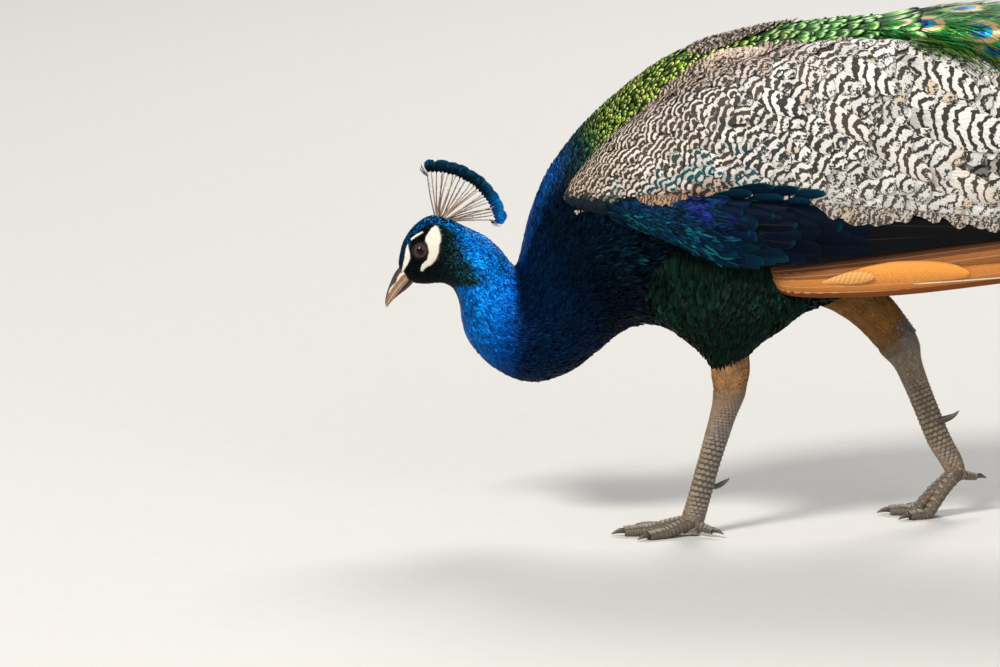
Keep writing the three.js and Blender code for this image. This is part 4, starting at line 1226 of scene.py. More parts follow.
# place along from and to, turn from and to, half width, how tan, and height of the tip
scapulars = np.array([[7.0, 7.7, 1.3, 1.75, 17, 0.3, 1.2], [6.6, 7.4, 0.8, 1.2, 18, 0.2, 1.4],
    [6.25, 7.05, 1.85, 2.1, 16, 0.5, 1.6], [6.05, 6.9, 1.35, 1.7, 19, 0.1, 2.0],
    [5.75, 6.6, 0.55, 0.95, 19, 0.2, 2.0], [5.05, 6.0, 1.66, 1.92, 15, 0.9, 2.0],
    [4.5, 5.25, 1.4, 1.74, 14, 0.5, 2.2], [4.9, 5.75, 0.56, 0.92, 16, 0.1, 2.6],
    [4.9, 6.12, 1.2, 1.34, 22, 0.1, 5.5], [4.2, 4.88, 0.5, 0.98, 14, 0.1, 2.6],
    [3.95, 4.62, 1.04, 1.42, 14, 0.4, 2.4], [3.3, 3.95, 0.8, 1.18, 12, 0.1, 2.0]])


# Height of a point as it is judged from a little above the side: near is 1 for that side's eye.
def tiltedHeight(points, near):
    return points[..., 2] + 0.176 * points[..., 1] * near


def rufousShare(turn, k):
    return smooth(1.6, 1.9, turn) * smooth(1.2, 1.8, k) * smooth(3.4, 2.8, k)


def scapularOutline(v):
    return np.clip(0.45 + 1.6 * v, 0, 1) * np.sqrt(np.clip(1 - np.clip((v - 0.5) / 0.5, 0, 1) ** 2.4, 0.003, 1))


def buildBarredShell(side):
    v, surface = wingValues, wings[side]
    rng = default_rng(71 if side == "left" else 72)
    spots = []
    k, odd = 0.12, 0
    while k < 7.9:  # staggered rows of feathers, as on the back
        step = np.interp(k, v["pitchK"], v["pitch"])
        turns = np.linspace(-0.35, pi + 0.25, 161)
        reach = ringReach(surface, k / wingLast, turns)
        wide = step * 1.35
        along = np.arange(0.25 + 0.5 * odd, reach[-1] / wide) * wide
        along = along + rng.normal(0, 0.14, len(along)) * wide
        turn = np.interp(along, reach, turns)
        spots.append(np.stack([k / wingLast + rng.normal(0, 0.12, len(turn)) * step / 700, turn,
            np.full(len(turn), step), along - np.interp(0.0, turns, reach)], 1))
        k += step / (aheadRate(surface, k / wingLast, 1.4) / wingLast)
        odd = 1 - odd
    t, turn, step, around = np.concatenate(spots).T
    room = v["rear"] - surface(t, turn)[:, 0]  # no feather reaches past the wing's end
    t, turn, step, around, room = (values[room > 14] for values in (t, turn, step, around, room))
    n, k = len(t), t * wingLast
    yaw = (0.5 * smooth(2.9, 0.9, k) * smooth(3.3, 2.4, turn) + 0.64 + rng.normal(0, 0.13, n) + 0.28 * smooth(1.6,
        0.6, turn) * smooth(5.8, 3.8, k) * smooth(1.6, 2.8, k))
    yaw = yaw * smooth(pi + 0.2, 2.2, turn) * smooth(8.2, 5.5, k)
    size = np.minimum(2.5 + 0.5 * rng.random(n), room / step)
    short = layFeathers(surface, t, turn, step * size, step * 0.9, yaw, scaleOutline, -0.22 * step - 1.6,
        0.1 + 0.5 * rng.random(n), (6, 8), 0.16, rng.normal(0, 0.05, n), 0.75)
    table = np.linspace(0, 1, 400)
    line = surface(table, np.full(400, 1.4))
    steps = np.concatenate([[0], norm(np.diff(line, axis=0), axis=1)])
    run = np.cumsum(steps / np.interp(table * wingLast, v["pitchK"], v["bar"]))
    bar = np.interp(k, v["pitchK"], v["bar"])
    start = np.cos(yaw) * np.interp(t, table, run) + np.sin(yaw) * around / bar + rng.normal(0, 0.14, n)
    # the large scapulars lie over the shorter feathers
    rows = scapulars.T
    big = layLong(surface, rows[0] / wingLast, rows[1] / wingLast, rows[2], rows[3], rows[4], scapularOutline, -2.5,
        rows[6] + 0.6, (10, 22), 0.16, 0.8)
    ends = surface(rows[1] / wingLast, rows[3]) - surface(rows[0] / wingLast, rows[2])
    reach = norm(ends, axis=-1)
    coat = joined([short, big])
    each, u, vv = coat["each"], coat["u"], coat["v"]
    m = len(rows[0])
    k, turn = np.concatenate([k, rows[1]]), np.concatenate([turn, rows[3]])
    root = np.concatenate([surface(t, short["turn"]), surface(rows[0] / wingLast, rows[2])])
    n = len(k)
    isBig = np.arange(n) >= n - m
    start = np.concatenate([start, rng.random(m)])
    bars = np.concatenate([step * size / bar, reach / 12.5])
    wide = np.concatenate([step / bar, rows[4] / 8.0])
    phase = start[each] + vv * bars[each] - 0.3 * u ** 2 * wide[each]
    low = smooth(1.55, 2.15, turn)
    cloud = drift(root, 55.0, 12)
    mottled = 0.05 + 0.8 * low * smooth(2.6, 3.6, k) + 0.4 * smooth(0.1, 0.7, cloud) * rng.random(n)
    mottled = np.clip(mottled + 0.5 * smooth(1.5, 3.0, k) * (rng.random(n) < 0.22), 0, 1)
    mottled = np.clip(mottled + 0.5 * smooth(0.5, 0.1, turn) * smooth(1.5, 2.5, k), 0, 1)
    mottled[isBig] *= 0.1
    rear = smooth(2.6, 4.4, k)
    rear[isBig] *= 0.5
    rimmed = smooth(0.7, 1.0, np.maximum(np.abs(u), vv)) * rear[each]
    wander = np.clip(mottled[each] + 0.85 * rimmed, 0, 1)
    rufous = rufousShare(turn, k)
    darkness = (0.22 * smooth(1.7, 0.9, turn) * smooth(3.8, 2.6, k) - 0.25 * smooth(3.6, 5.6, k)
        - 0.3 * low * (1 - rufous))
    cream = layered((0.62, 0.5, 0.36), ((0.81, 0.775, 0.72), smooth(0.3, 2.4, k)),
        ((0.5, 0.36, 0.26), smooth(1.6, 0.9, turn) * smooth(3.6, 2.4, k) * 0.35))
    tan = 0.85 * smooth(0.25, 0.8, drift(root, 40.0, 14)) * rng.random(n) + (rng.random(n) < 0.08)
    tan = np.where(isBig, np.concatenate([np.zeros(n - m), rows[5]]), np.clip(tan, 0, 1) * 0.8)
    cream = cream * np.where(isBig, 1.12, np.exp(rng.normal(0, 0.1, n)))[:, None]
    # painted shadow on the shorter feathers in the space under the largest scapular
    gapShadow = ~isBig * smooth(5.05, 5.3, k) * smooth(1.36, 1.44, turn) * smooth(1.66, 1.56, turn) * smooth(7.0, 6.2, k)
    creams = layered(cream[each], ((0.7, 0.47, 0.24), tan[each] * (0.2 + 0.7 * rimmed)),
        ((0.42, 0.17, 0.06), (rufous * (0.5 + 0.5 * rng.random(n)))[each]),
        ((0.52, 0.36, 0.28), (smooth(0.34, 0.06, turn) * smooth(1.5, 2.5, k) * smooth(4.4, 3.4, k))[each] * 0.7))
    dark = layered(mix((0.05, 0.03, 0.02), (0.036, 0.035, 0.032), smooth(1.5, 3.5, k)),
        ((0.075, 0.055, 0.04), rng.random(n) ** 3), ((0.03, 0.016, 0.01), rufous * 0.6),
        ((0.09, 0.072, 0.056), low * smooth(2.6, 3.6, k) * (1 - rufous) * 0.8))
    teal = smooth(1.05, 1.6, turn) * smooth(0.9, 1.6, k) * smooth(3.7, 2.9, k) * (rng.random(n) < 0.5)
    teal = teal * (1 - rufous)
    # the lowest of the front join the breast
    sunk = smooth(342, 337, tiltedHeight(root, -sideSigns[side])) * smooth(-76, -84, root[:, 0])
    dark = layered(dark, ((0.0, 0.11, 0.125), teal * 0.85), ((0.001, 0.007, 0.015), sunk))
    creams = mix(creams, (0.001, 0.01, 0.022), sunk[each])
    # painted shade: each feather darker towards its root, and darker still in the painted shadow under the largest
    # scapular
    paintedShade = ((0.55 + 0.45 * smooth(0.05, 0.5, vv)) * (1 - 0.75 * gapShadow[each]))[:, None]
    coatPiece(f"barred_shell_{side}", coat, "barred", "barred_feathers", cellBake(coat), creams * paintedShade,
        {"phase": phase, "wander": wander, "gloss": (teal * 0.4)[each], "darkness": darkness[each]},
        shade=dark[each] * paintedShade)
    print("barred shell", side, n, "feathers")


for side in sideSigns:
    buildBarredShell(side)


# Small barred feathers on the trunk itself: above the front of each shell, and in a patch of far
# scapulars that lies over the ridge of the back.
mantleValues = {"lineX": [-137, -115, -90, -65, -40, -28, -5, 10, 35, 85, 150],
    "lineHeight": [337, 366, 392, 417, 445, 456, 471, 481, 482, 489, 495], "patchX": [-14, 0, 20, 50, 80],
    "patchHeight": [473, 476, 486, 497, 508], "count": 1500}


def buildMantle():
    v = mantleValues

    def side(points):
        return tiltedHeight(points, -np.sign(points[..., 1]))

    def edgeDensity(t, turn, points):
        line = np.interp(points[..., 0], v["lineX"], v["lineHeight"])
        h = side(points)
        return (smooth(line + 1, line - 3, h) * smooth(line - 44, line - 34, h) * smooth(-132, -118, points[..., 0])
            * smooth(160, 120, points[..., 0]))

    def patchDensity(t, turn, points):
        x, y = points[..., 0], points[..., 1]
        near = points[..., 2] + 0.176 * y  # as seen from the left
        over = smooth(-1.5, 1.5, np.where(y < 0, near - np.interp(x, v["patchX"], v["patchHeight"]), 9))
        return over * smooth(-26, 4, x) * smooth(94, 64, x) * smooth(66, 50, y)
    spans = ((10.5 / bodyLast, 19.5 / bodyLast), (-1.6, 1.6))
    t, turn = np.concatenate([scatter(body, v["count"], *spans, edgeDensity, 201),
        scatter(body, 520, *spans, patchDensity, 202)], 1)
    n = len(t)
    rng = default_rng(203)
    patch = np.arange(n) >= v["count"]
    root = body(t, turn)
    size = np.interp(root[:, 0], [-130, -60, 0, 100], [8.0, 11.0, 14.0, 18.0]) * np.exp(rng.normal(0, 0.12, n))
    size = np.where(patch, 12.0, size)
    yaw = np.sign(turn) * np.where(patch, 0.15, 0.55) + rng.normal(0, 0.16, n)
    coat = layFeathers(body, t, turn, size, size * 0.3, yaw, scaleOutline, -1.8, np.where(patch, 2.4, 1.5)
        + 0.9 * rng.random(n), (3, 5), 0.2, 0.0, 0.75, rng.normal(0, 0.15, n))
    each, vv = coat["each"], coat["v"]
    bar = np.interp(root[:, 0], [-130, 0, 100], [3.8, 5.0, 7.0])
    phase = ((root[:, 0] * 0.8 + root[:, 2] * 0.35) / bar + rng.normal(0, 0.25, n))[each] + vv * (size / bar)[each]
    cream = np.where(patch[:, None], np.array([0.46, 0.38, 0.31]), np.array([0.56, 0.45, 0.36]))
    pink = smooth(-16, 0, root[:, 0]) * smooth(62, 42, root[:, 0]) * smooth(13, 4, np.interp(root[:, 0], v["lineX"],
        v["lineHeight"]) - side(root))
    cream = mix(cream, (0.68, 0.53, 0.43), np.where(patch, 0, pink) * 0.9)
    cream = cream * np.exp(rng.normal(0, 0.16, n))[:, None]
    # painted shade: each feather darker towards its root
    paintedShade = (0.5 + 0.5 * smooth(0.05, 0.5, vv))[:, None]
    wander = np.where(patch, 0.45, 0.35 + 0.3 * rng.random(n) + 0.3 * pink)
    darkness = np.where(patch, 0.1, 0.2 - 0.8 * pink)
    coatPiece("mantle_feathers", coat, "barred", "barred_feathers", tuftBake(coat, *spans, 0.008),
        cream[each] * paintedShade, {"phase": phase, "wander": wander[each], "gloss": 0.0, "darkness": darkness[each]},
        shade=paintedShade * [0.045, 0.03, 0.022])


# Feathers of the shell's lower edge that hang over the dark ones, down to a line: small rufous
# ones at the front and mottled ones behind.
hangs = {"front": {"x": [-74, -64, -45, -27, -10, 4], "height": [333, 327, 324, 327, 333, 341], "span": (-74, 2),
    "count": 170, "length": 9.5, "half": 2.9, "tip": 4, "deep": 20, "cream": (0.42, 0.25, 0.15), "bars": 2.2,
    "wander": 0.35}, "rear": {"x": [95, 130, 167, 186, 200, 215, 250, 300],
    "height": [326, 315, 305, 308, 311, 311, 307, 301], "span": (82, 290), "count": 120, "length": 23.0,
    "half": 7.0, "tip": 15, "deep": 42, "cream": (0.5, 0.445, 0.39), "bars": 3.6, "wander": 0.8}}


def buildHanging(side, part):
    v, surface = hangs[part], secondaries[side]

    def density(t, turn, points):
        line = np.interp(points[..., 0] + v["tip"], v["x"], v["height"])
        h = tiltedHeight(points, -sideSigns[side])
        near = 0.35 * v["tip"]
        first, last = v["span"]
        return (smooth(line + near, line + near + 3, h) * smooth(line + v["deep"], line + v["deep"] - 6,
            h) * smooth(first - 4, first + 4, points[..., 0]) * smooth(last + 10, last - 5, points[..., 0]))
    spans = ((0.0, 5.0 / 6), (-0.5, 1.9))
    t, turn = scatter(surface, v["count"], *spans, density, 211)
    order = np.argsort(-turn)
    t, turn = t[order], turn[order]
    n = len(t)
    rng = default_rng(212)
    coat = layFeathers(surface, t, turn, v["length"] * (0.88 + 0.24 * rng.random(n)), v["half"],
        0.3 + rng.normal(0, 0.14, n), scaleOutline, 0.2, 1.8 + 0.8 * rng.random(n), (4, 6), 0.2, 0.0, 0.8)
    each, vv = coat["each"], coat["v"]
    cream = np.array(v["cream"]) * np.exp(rng.normal(0, 0.12, n))[:, None]
    cream = mix(cream, (0.56, 0.38, 0.22), (rng.random(n) < 0.22) * 0.5)
    # painted shade: each feather darker towards its root
    paintedShade = (0.6 + 0.4 * smooth(0.05, 0.45, vv))[:, None]
    coatPiece(f"barred_edge_{part}_{side}", coat, "barred", "barred_feathers", cellBake(coat), cream[each] * paintedShade,
        {"phase": rng.random(n)[each] + vv * v["bars"], "wander": v["wander"], "gloss": 0.0, "darkness": 0.04},
        shade=paintedShade * [0.048, 0.038, 0.03])


for side in sideSigns:
    buildHanging(side, "front")
    buildHanging(side, "rear")
buildMantle()
print("mantle laid")


# Tufts scattered over any surface.
def plainCoat(surface, count, spanT, spanTurn, density, seed, length, halfWidth, grid, outline, low, high, yaw=0.0,
        camber=0.3, sweep=0.2):
    t, turn = scatter(surface, count, spanT, spanTurn, density, seed)
    rng = default_rng(seed + 1)
    n = len(t)
    size = (length(t) if callable(length) else length) * np.exp(rng.normal(0, 0.14, n))
    wide = (halfWidth(t) if callable(halfWidth) else halfWidth) * np.exp(rng.normal(0, 0.14, n))
    coat = layFeathers(surface, t, turn, size, wide, yaw + rng.normal(0, 0.16, n), outline, low,
        high * rng.random(n), grid, camber, rng.normal(0, sweep, n) * 0.5, 0.6, rng.normal(0, 0.2, n))
    return coat, rng


darkWing = {"pitchK": [0, 1, 2, 3, 4], "pitch": [4.6, 7.0, 13.0, 19.0, 23.0], "endK": 3.1, "quills": 12}
# dark coverts over the lower edge of the barred shell, along its rows: place along from and to,
# turn from and to, half width and height of the tip
tongue = np.array([[3.74, 4.2, 2.06, 1.99, 6.0, 1.6], [3.62, 4.06, 2.18, 2.09, 6.0, 1.7],
    [3.48, 3.94, 2.04, 1.97, 6.5, 1.9], [3.4, 3.88, 2.29, 2.19, 6.5, 2.0], [3.34, 3.78, 2.15, 2.07, 6.5, 2.1],
    [3.22, 3.68, 2.03, 1.95, 6.5, 2.2], [3.16, 3.64, 2.4, 2.3, 6.5, 2.3], [3.12, 3.56, 2.25, 2.16, 6.5, 2.4],
    [3.02, 3.46, 2.12, 2.03, 6.5, 2.5], [2.94, 3.4, 2.5, 2.4, 6.5, 2.6], [2.9, 3.34, 2.35, 2.26, 6.5, 2.7],
    [2.8, 3.24, 2.21, 2.12, 6.5, 2.8], [2.7, 3.14, 2.46, 2.37, 6.5, 2.9], [2.62, 3.04, 2.32, 2.23, 6.0, 3.0]])
# place along from and to, turn from and to, half width, height of the tip, and colour; the darker colours of the
# upper quills are painted shadow cast by the wing above them
primaryQuills = np.array([[0.06, 0.99, 0.3, 0.35, 11.0, -0.2, 0.13, 0.04, 0.013],
    [0.05, 0.97, 0.85, 0.8, 12.0, 0.1, 0.15, 0.05, 0.016], [0.04, 0.94, 1.35, 1.3, 11.0, 0.4, 0.3, 0.105, 0.03],
    [0.01, 0.82, 2.86, 2.78, 5.6, 0.9, 0.2, 0.05, 0.006], [0.03, 0.92, 2.36, 2.34, 7.0, 0.5, 0.64, 0.3, 0.12],
    [0.02, 0.64, 1.9, 2.12, 10.0, 0.8, 0.56, 0.2, 0.045], [0.18, 0.82, 1.82, 2.72, 0.8, 2.4, 0.84, 0.7, 0.54]])
# rounded vanes over them, in the same terms
primaryVanes = np.array([[0.22, 0.485, 1.55, 1.9, 12.5, 1.8, 0.8, 0.31, 0.06],
    [0.215, 0.312, 1.8, 1.58, 6.5, 2.6, 0.84, 0.4, 0.12]])


def buildDarkWing(side):
    rng = default_rng(81 if side == "left" else 82)
    surface, last, v = secondaries[side], len(secondaryRows) - 1, darkWing
    # long quills, one above another, whose tips step back along the wing
    count = v["quills"]
    share = np.linspace(0, 1, count)
    long = layLong(surface, 0.12 + 0.14 * share, 0.66 + 0.39 * share ** 0.8, 2.75 - 1.9 * share,
        2.55 - 1.35 * share, 11.0 - 2.0 * share, quill, -3.4 + 0.3 * share, 0.1 + 0.5 * share, (8, 40), 0.1, 0.8)
    brown = mix((0.0022, 0.0045, 0.0062), (0.0048, 0.0036, 0.003), share)
    # rounded greater and median coverts over their roots
    spots = []
    k, odd = 0.05, 0
    while k < v["endK"]:
        step = np.interp(k, v["pitchK"], v["pitch"])
        turns = np.linspace(0.15, 3.0, 121)
        reach = ringReach(surface, k / last, turns)
        along = np.arange(0.2 + 0.5 * odd, reach[-1] / (step * 0.9)) * step * 0.9
        spots.append(np.stack([np.full(len(along), k / last), np.interp(along, reach, turns),
            np.full(len(along), step)], 1))
        k += step * 0.95 / (aheadRate(surface, k / last, 1.5) / last)
        odd = 1 - odd
    t, turn, step = np.concatenate(spots).T
    n = len(t)
    t = t + rng.normal(0, 0.01, n)
    turn = turn + rng.normal(0, 0.05, n)
    short = layFeathers(surface, t, turn, step * (2.5 + 0.6 * rng.random(n)), step * 0.72,
        0.16 + rng.normal(0, 0.13, n), scaleOutline, -1.6, 0.7 + 0.7 * rng.random(n), (8, 10), 0.2, 0.0, 0.8)
    kk = t * last
    any1, any2 = rng.random(n), rng.random(n)
    # the feathers' own violet gloss, painted brightest in one patch as a sheen
    violet = np.exp(-((kk - 1.58) / 0.13) ** 2 - ((turn - 0.75) / 0.35) ** 2)
    flank = smooth(1.5, 2.1, turn + 0.35 * (any2 - 0.5)) * smooth(2.6, 1.6, kk) * smooth(0.2, 0.7, kk)
    tone = layered((0.0012, 0.0055, 0.013), ((0.001, 0.014, 0.045), any1 ** 2 * smooth(3.0, 1.5, kk)),
        ((0.014, 0.02, 0.26), violet * 0.95), ((0.0025, 0.0045, 0.012), smooth(1.7, 2.3, kk) * (0.4 + 0.6 * any2)),
        ((0.0, 0.03, 0.062), flank * (any1 < 0.6) * 0.8), ((0.003, 0.12, 0.15), flank * (any1 > 0.9) * 0.9),
        ((0.001, 0.026, 0.075), smooth(1.5, 0.7, kk) * (any2 < 0.5) * 0.7))
    rows = tongue.T
    overlap = layLong(wings[side], rows[0] / wingLast, rows[1] / wingLast, rows[2], rows[3], rows[4], scaleOutline,
        -1.0, rows[5], (8, 16), 0.2, 0.8)
    both = joined([long, short, overlap])
    extra = len(tongue)
    base = np.concatenate([brown, tone, mix((0.0012, 0.01, 0.026), (0.003, 0.026, 0.052), rng.random(extra))])
    any3 = rng.random(n + extra)
    each, u, vv = both["each"], both["u"], both["v"]
    isShort = each >= count
    strength = np.concatenate([np.zeros(count), (any3 < 0.28) * (0.25 + 0.9 * any3)])
    strength[-extra:] = 0.35 + 0.6 * any3[-extra:]
    edge = smooth(0.88, 1.0, np.maximum(np.abs(u), vv)) * strength[each]
    teal = ~isShort * smooth(0.75, 1.0, -u) * ((each == 3) | (each == 6)) * smooth(0.7, 0.4, vv)
    # painted shade: each feather darker towards its root
    colour = layered(base[each] * (0.35 + 0.9 * vv)[:, None], ((0.0, 0.075, 0.085), edge),
        ((0.0, 0.1, 0.1), teal * 0.7))
    shafts = np.concatenate([(np.arange(count) % 4 == 2) * 0.35, (any1 < 0.06) * smooth(1.8, 2.8, kk) * 0.6,
        np.zeros(extra)])
    coatPiece(f"dark_wing_{side}", both, "dark", "dark_feathers", cellBake(both), colour,
        {"gloss": np.where(isShort, 0.6, 0.15), "shaft": shafts[each]}, (f"secondaries_{side}",))
    soft, _ = plainCoat(surface, 900, (0.0, 0.34), (0.05, 3.1), lambda t, r, p: smooth(0.36, 0.2, t), 83,
        lambda t: 11 + 12 * t, 1.7, (2, 4), pointed, -1.4, 2.0, 0.15)
    spark, fleck = rng.random(soft["count"]), rng.random(soft["count"])
    # the feathers' own violet gloss, painted brightest in one patch as a sheen
    violet = np.exp(-((soft["t"] * last - 1.5) / 0.12) ** 2 - ((soft["turn"] - 0.7) / 0.3) ** 2)
    turquoise = smooth(1.1, 1.7, soft["turn"]) * (fleck > 0.72)
    tone = layered((0.001, 0.009, 0.02), ((0.001, 0.04, 0.115), spark ** 1.4),
        ((0.003, 0.17, 0.2), turquoise * 0.9), ((0.014, 0.02, 0.28), violet * 0.8))
    # painted shade: each tuft darker towards its root
    coatPiece(f"wing_front_{side}", soft, "small", "dark_feathers", tuftBake(soft, (0, 0.35), (0, pi)),
        tone[soft["each"]] * (0.3 + 0.8 * soft["v"])[:, None], {"gloss": 0.6})
    plainCore(f"dark_wing_core_{side}", surface, 28, -3.2, "dark", "dark_feathers", (0.003, 0.004, 0.005))
    # chestnut primaries
    surface = primaries[side]
    kinds = ((primaryQuills.T, quill, 0.0), (primaryVanes.T, lambda w: np.concatenate([lobed(w), spade(w)]),
        [-0.8, -0.4]))
    quills = joined([layLong(surface, *rows[:5], outline, -1.9, rows[5], (8, 44), 0.1, 0.8, bow) for rows, outline,
        bow in kinds])
    each, u, vv = quills["each"], quills["u"], quills["v"]
    colour = np.concatenate([primaryQuills, primaryVanes])[each, 6:] * (0.85 + 0.25 * smooth(1, -0.5, u))[:, None]
    notched = each == len(primaryQuills) + 1
    colour = colour * (1 - 0.3 * notched * smooth(0.2, 0.8, np.sin(75 * vv + 4 * u)))[:, None]
    colour = colour * (1 - 0.35 * smooth(0.86, 1.0, np.abs(u)))[:, None]
    along = quills["points"][:, 0] + 26 * (each >= len(primaryQuills))
    colour = colour * (0.8 + 0.2 * smooth(80, 165, along))[:, None]
    shafts = np.array([0.15, 0.15, 0.2, 0.1, 0.2, 0.2, 0.0, 0.0, 0.0])
    coatPiece(f"chestnut_primaries_{side}", quills, "chestnut", "chestnut_feathers", cellBake(quills), colour,
        {"gloss": 0.0, "shaft": shafts[each]}, (f"primaries_{side}",))
    plainCore(f"chestnut_core_{side}", surface, 24, -2.9, "chestnut", "chestnut_feathers", (0.26, 0.095, 0.03))


for side in sideSigns:
    buildDarkWing(side)
print("dark feathers and primaries laid")


trainValues = {"x": [205, 300, 450, 700, 1100, 1600, 1730], "pitch": [40, 42, 47, 54, 58, 58, 50],
    "eyeHalf": [14, 15, 18, 20, 22, 22, 19], "barbs": 46}
greens = {"emerald": (0.012, 0.3, 0.075), "barb": (0.05, 0.23, 0.03), "bronze": (0.3, 0.2, 0.035),
    "dark": (0.004, 0.03, 0.012), "gold": (0.22, 0.34, 0.03)}
greens = {key: np.array(value) for key, value in greens.items()}


def trainSurface(t, turn, grow=0.0):
    points = train(t, turn, grow)
    points[..., 2] = np.maximum(points[..., 2], 0.6)
    return points


def trainX(t):
    return train(t, np.zeros_like(t))[..., 0]


def trainSpots():
    table = np.linspace(0.0, 1.0, 3000)
    xs = trainX(table)
    # the first few on each side, then staggered rows
    first = np.array([[0.051, 0.8, 34], [0.094, 1.06, 38], [0.056, 1.72, 30], [0.084, 0.24, 36], [0.106, 1.55, 38]])
    first = np.concatenate([first, first * [1, -1, 1]])
    spots = [np.stack([trainX(first[:, 0]), *first.T], 1)]
    x, odd = 312.0, 0
    while x < 1735:
        pitch = np.interp(x, trainValues["x"], trainValues["pitch"])
        t = np.interp(x, xs, table)
        limit = np.interp(x, [200, 400, 1730], [1.15, 1.75, 1.7])
        turns = np.linspace(-limit, limit, 121)
        reach = ringReach(trainSurface, t, turns)
        reach -= reach[60]
        across = (np.arange(-9, 10) + 0.5 * odd) * pitch * 1.0
        across = across[(across > reach[0]) & (across < reach[-1])]
        turn = np.interp(across, reach, turns)
        spots.append(np.stack([np.full(len(turn), x), np.full(len(turn), t), turn, np.full(len(turn), pitch)], 1))
        x += pitch * 0.93
        odd = 1 - odd
    return np.concatenate(spots)


def buildTrain():
    rng = default_rng(91)
    x, t, turn, pitch = trainSpots().T
    n = len(t)
    loose = smooth(9, 12, np.arange(n))
    x = x + rng.normal(0, 0.2, n) * pitch * loose
    turn = turn + rng.normal(0, 0.07, n) * loose
    rise = np.where(loose < 1, 2.6, 6.5 * rng.random(n) * smooth(250, 420, x))  # tips stand clear of those below
    table = np.linspace(-0.05, 1.03, 3000)
    xs = trainX(table)
    eyeHalf = np.interp(x, trainValues["x"], trainValues["eyeHalf"]) * np.exp(rng.normal(0, 0.1, n))
    length = np.clip(3.9 * pitch, 90, 230)
    tip = np.minimum(x + 0.62 * pitch, 1731)
    rootX = np.maximum(tip - length, 168)

    def at(value):
        return np.interp(value, xs, table)
    # a streaky base vane for every feather
    vaneCoat = layLong(trainSurface, at(rootX), at(tip), turn * 0.98, turn, pitch * 0.56, quill, -7.5, -1.2 + rise,
        (6, 14), 0.07, 1.2, rng.normal(0, 0.1, n))
    mixShare = rng.random(n)
    base = mix(greens["barb"], greens["bronze"], 0.15 + 0.35 * mixShare) * 0.5
    each = vaneCoat["each"]
    # painted shade: each vane darker towards its root
    coatPiece("train_vanes", vaneCoat, "barbs", "train_feathers", cellBake(vaneCoat),
        base[each] * (0.35 + 0.65 * vaneCoat["v"])[:, None], {"gloss": 0.6})
    # loose barbs on both sides of every shaft
    barbs = trainValues["barbs"]
    index = np.arange(n * barbs * 2)
    owner = index // (barbs * 2)
    sign = np.where(index % 2 == 0, -1.0, 1.0)
    m = len(index)
    v = 0.12 + 0.86 * (((index // 2) % barbs + rng.random(m)) / barbs)
    spread = pitch[owner]
    reach = spread * (0.42 + 0.5 * rng.random(m)) * (1 - 0.25 * smooth(0.8, 1.0, v))
    angle = 0.75 + rng.normal(0, 0.14, m) - 0.62 * smooth(0.72, 1.0, v)
    startX = rootX[owner] + (tip - rootX)[owner] * v
    s = np.linspace(0, 1, 5)
    bend = (0.55 + rng.normal(0, 0.22, m))[:, None]
    ahead = reach[:, None] * (np.cos(angle)[:, None] * s + bend * 0.55 * s * s)
    aside = reach[:, None] * (np.sin(angle)[:, None] * s - bend * 0.22 * s * s) * sign[:, None]
    px = np.minimum(startX[:, None] + ahead, 1733)
    tt = at(px)
    centreTurn = turn[owner][:, None] * (0.98 + 0.02 * v[:, None])
    step = 1e-3
    scale = norm(trainSurface(tt, centreTurn + step) - trainSurface(tt, centreTurn - step), axis=-1) / (2 * step)
    rr = centreTurn + aside / np.maximum(scale, 1.0)
    vv = np.clip((px - rootX[owner][:, None]) / (tip - rootX)[owner][:, None], 0, 1.2)
    grow = (-6.7 + 6.9 * np.clip(vv, 0, 1) ** 0.9 + rise[owner][:, None] * vv ** 1.6
        + (1.0 + 1.6 * smooth(0.75, 1.0, v))[:, None] * rng.random(m)[:, None] * s)
    wide = np.array([0.75, 0.9, 0.8, 0.55, 0.12]) * (0.7 + 0.5 * rng.random(m))[:, None]
    strips = np.stack([trainSurface(tt + edge * wide * np.sin(angle)[:, None] / 1600.0,
        rr + edge * wide * np.cos(angle)[:, None] / np.maximum(scale, 1.0), grow) for edge in (-1, 1)], 2)
    strips = strips.reshape(-1, 3)
    faces = manyFaces(m, 5, 2)
    tone = layered(mix(greens["barb"], greens["gold"], rng.random(m) * 0.8),
        (greens["bronze"], (rng.random(m) < 0.3) * 0.7), (greens["emerald"] * (0.5 + rng.random(m))[:, None],
        smooth(430, 290, x[owner]) * 0.8),
        (greens["dark"], (rng.random(m) < 0.28 - 0.12 * smooth(380, 290, x[owner])) * 0.85))
    sv = np.tile(np.repeat(s, 2), m)
    # painted shade: each barb darker towards its root
    colour = np.repeat(tone, 10, 0) * (0.5 + 0.6 * sv)[:, None]
    uAcross = np.tile([-1.0, 1.0], m * 5)
    barbCoat = {"each": np.repeat(np.arange(m), 10), "u": uAcross, "v": sv, "count": m, "t": at(startX),
        "turn": turn[owner] + 0.05 * sign}
    uvBake = tuftBake(barbCoat, (0, 1.02), (-2.2, 2.2))
    half = (n // 2) * barbs * 2
    for label, start, stop in (("front", 0, half), ("rear", half, m)):
        pick = slice(start * 10, stop * 10)
        makePiece(f"train_barbs_{label}", strips[pick], faces[start * 4:stop * 4] - start * 10, finishes["barbs"],
            "train_feathers", maps={"vane": np.stack([uAcross * 0.5 + 0.5, sv], 1)[pick], "OFBake": uvBake[pick]},
            tints={"tint": colour[pick]}, values={"gloss": 0.6})
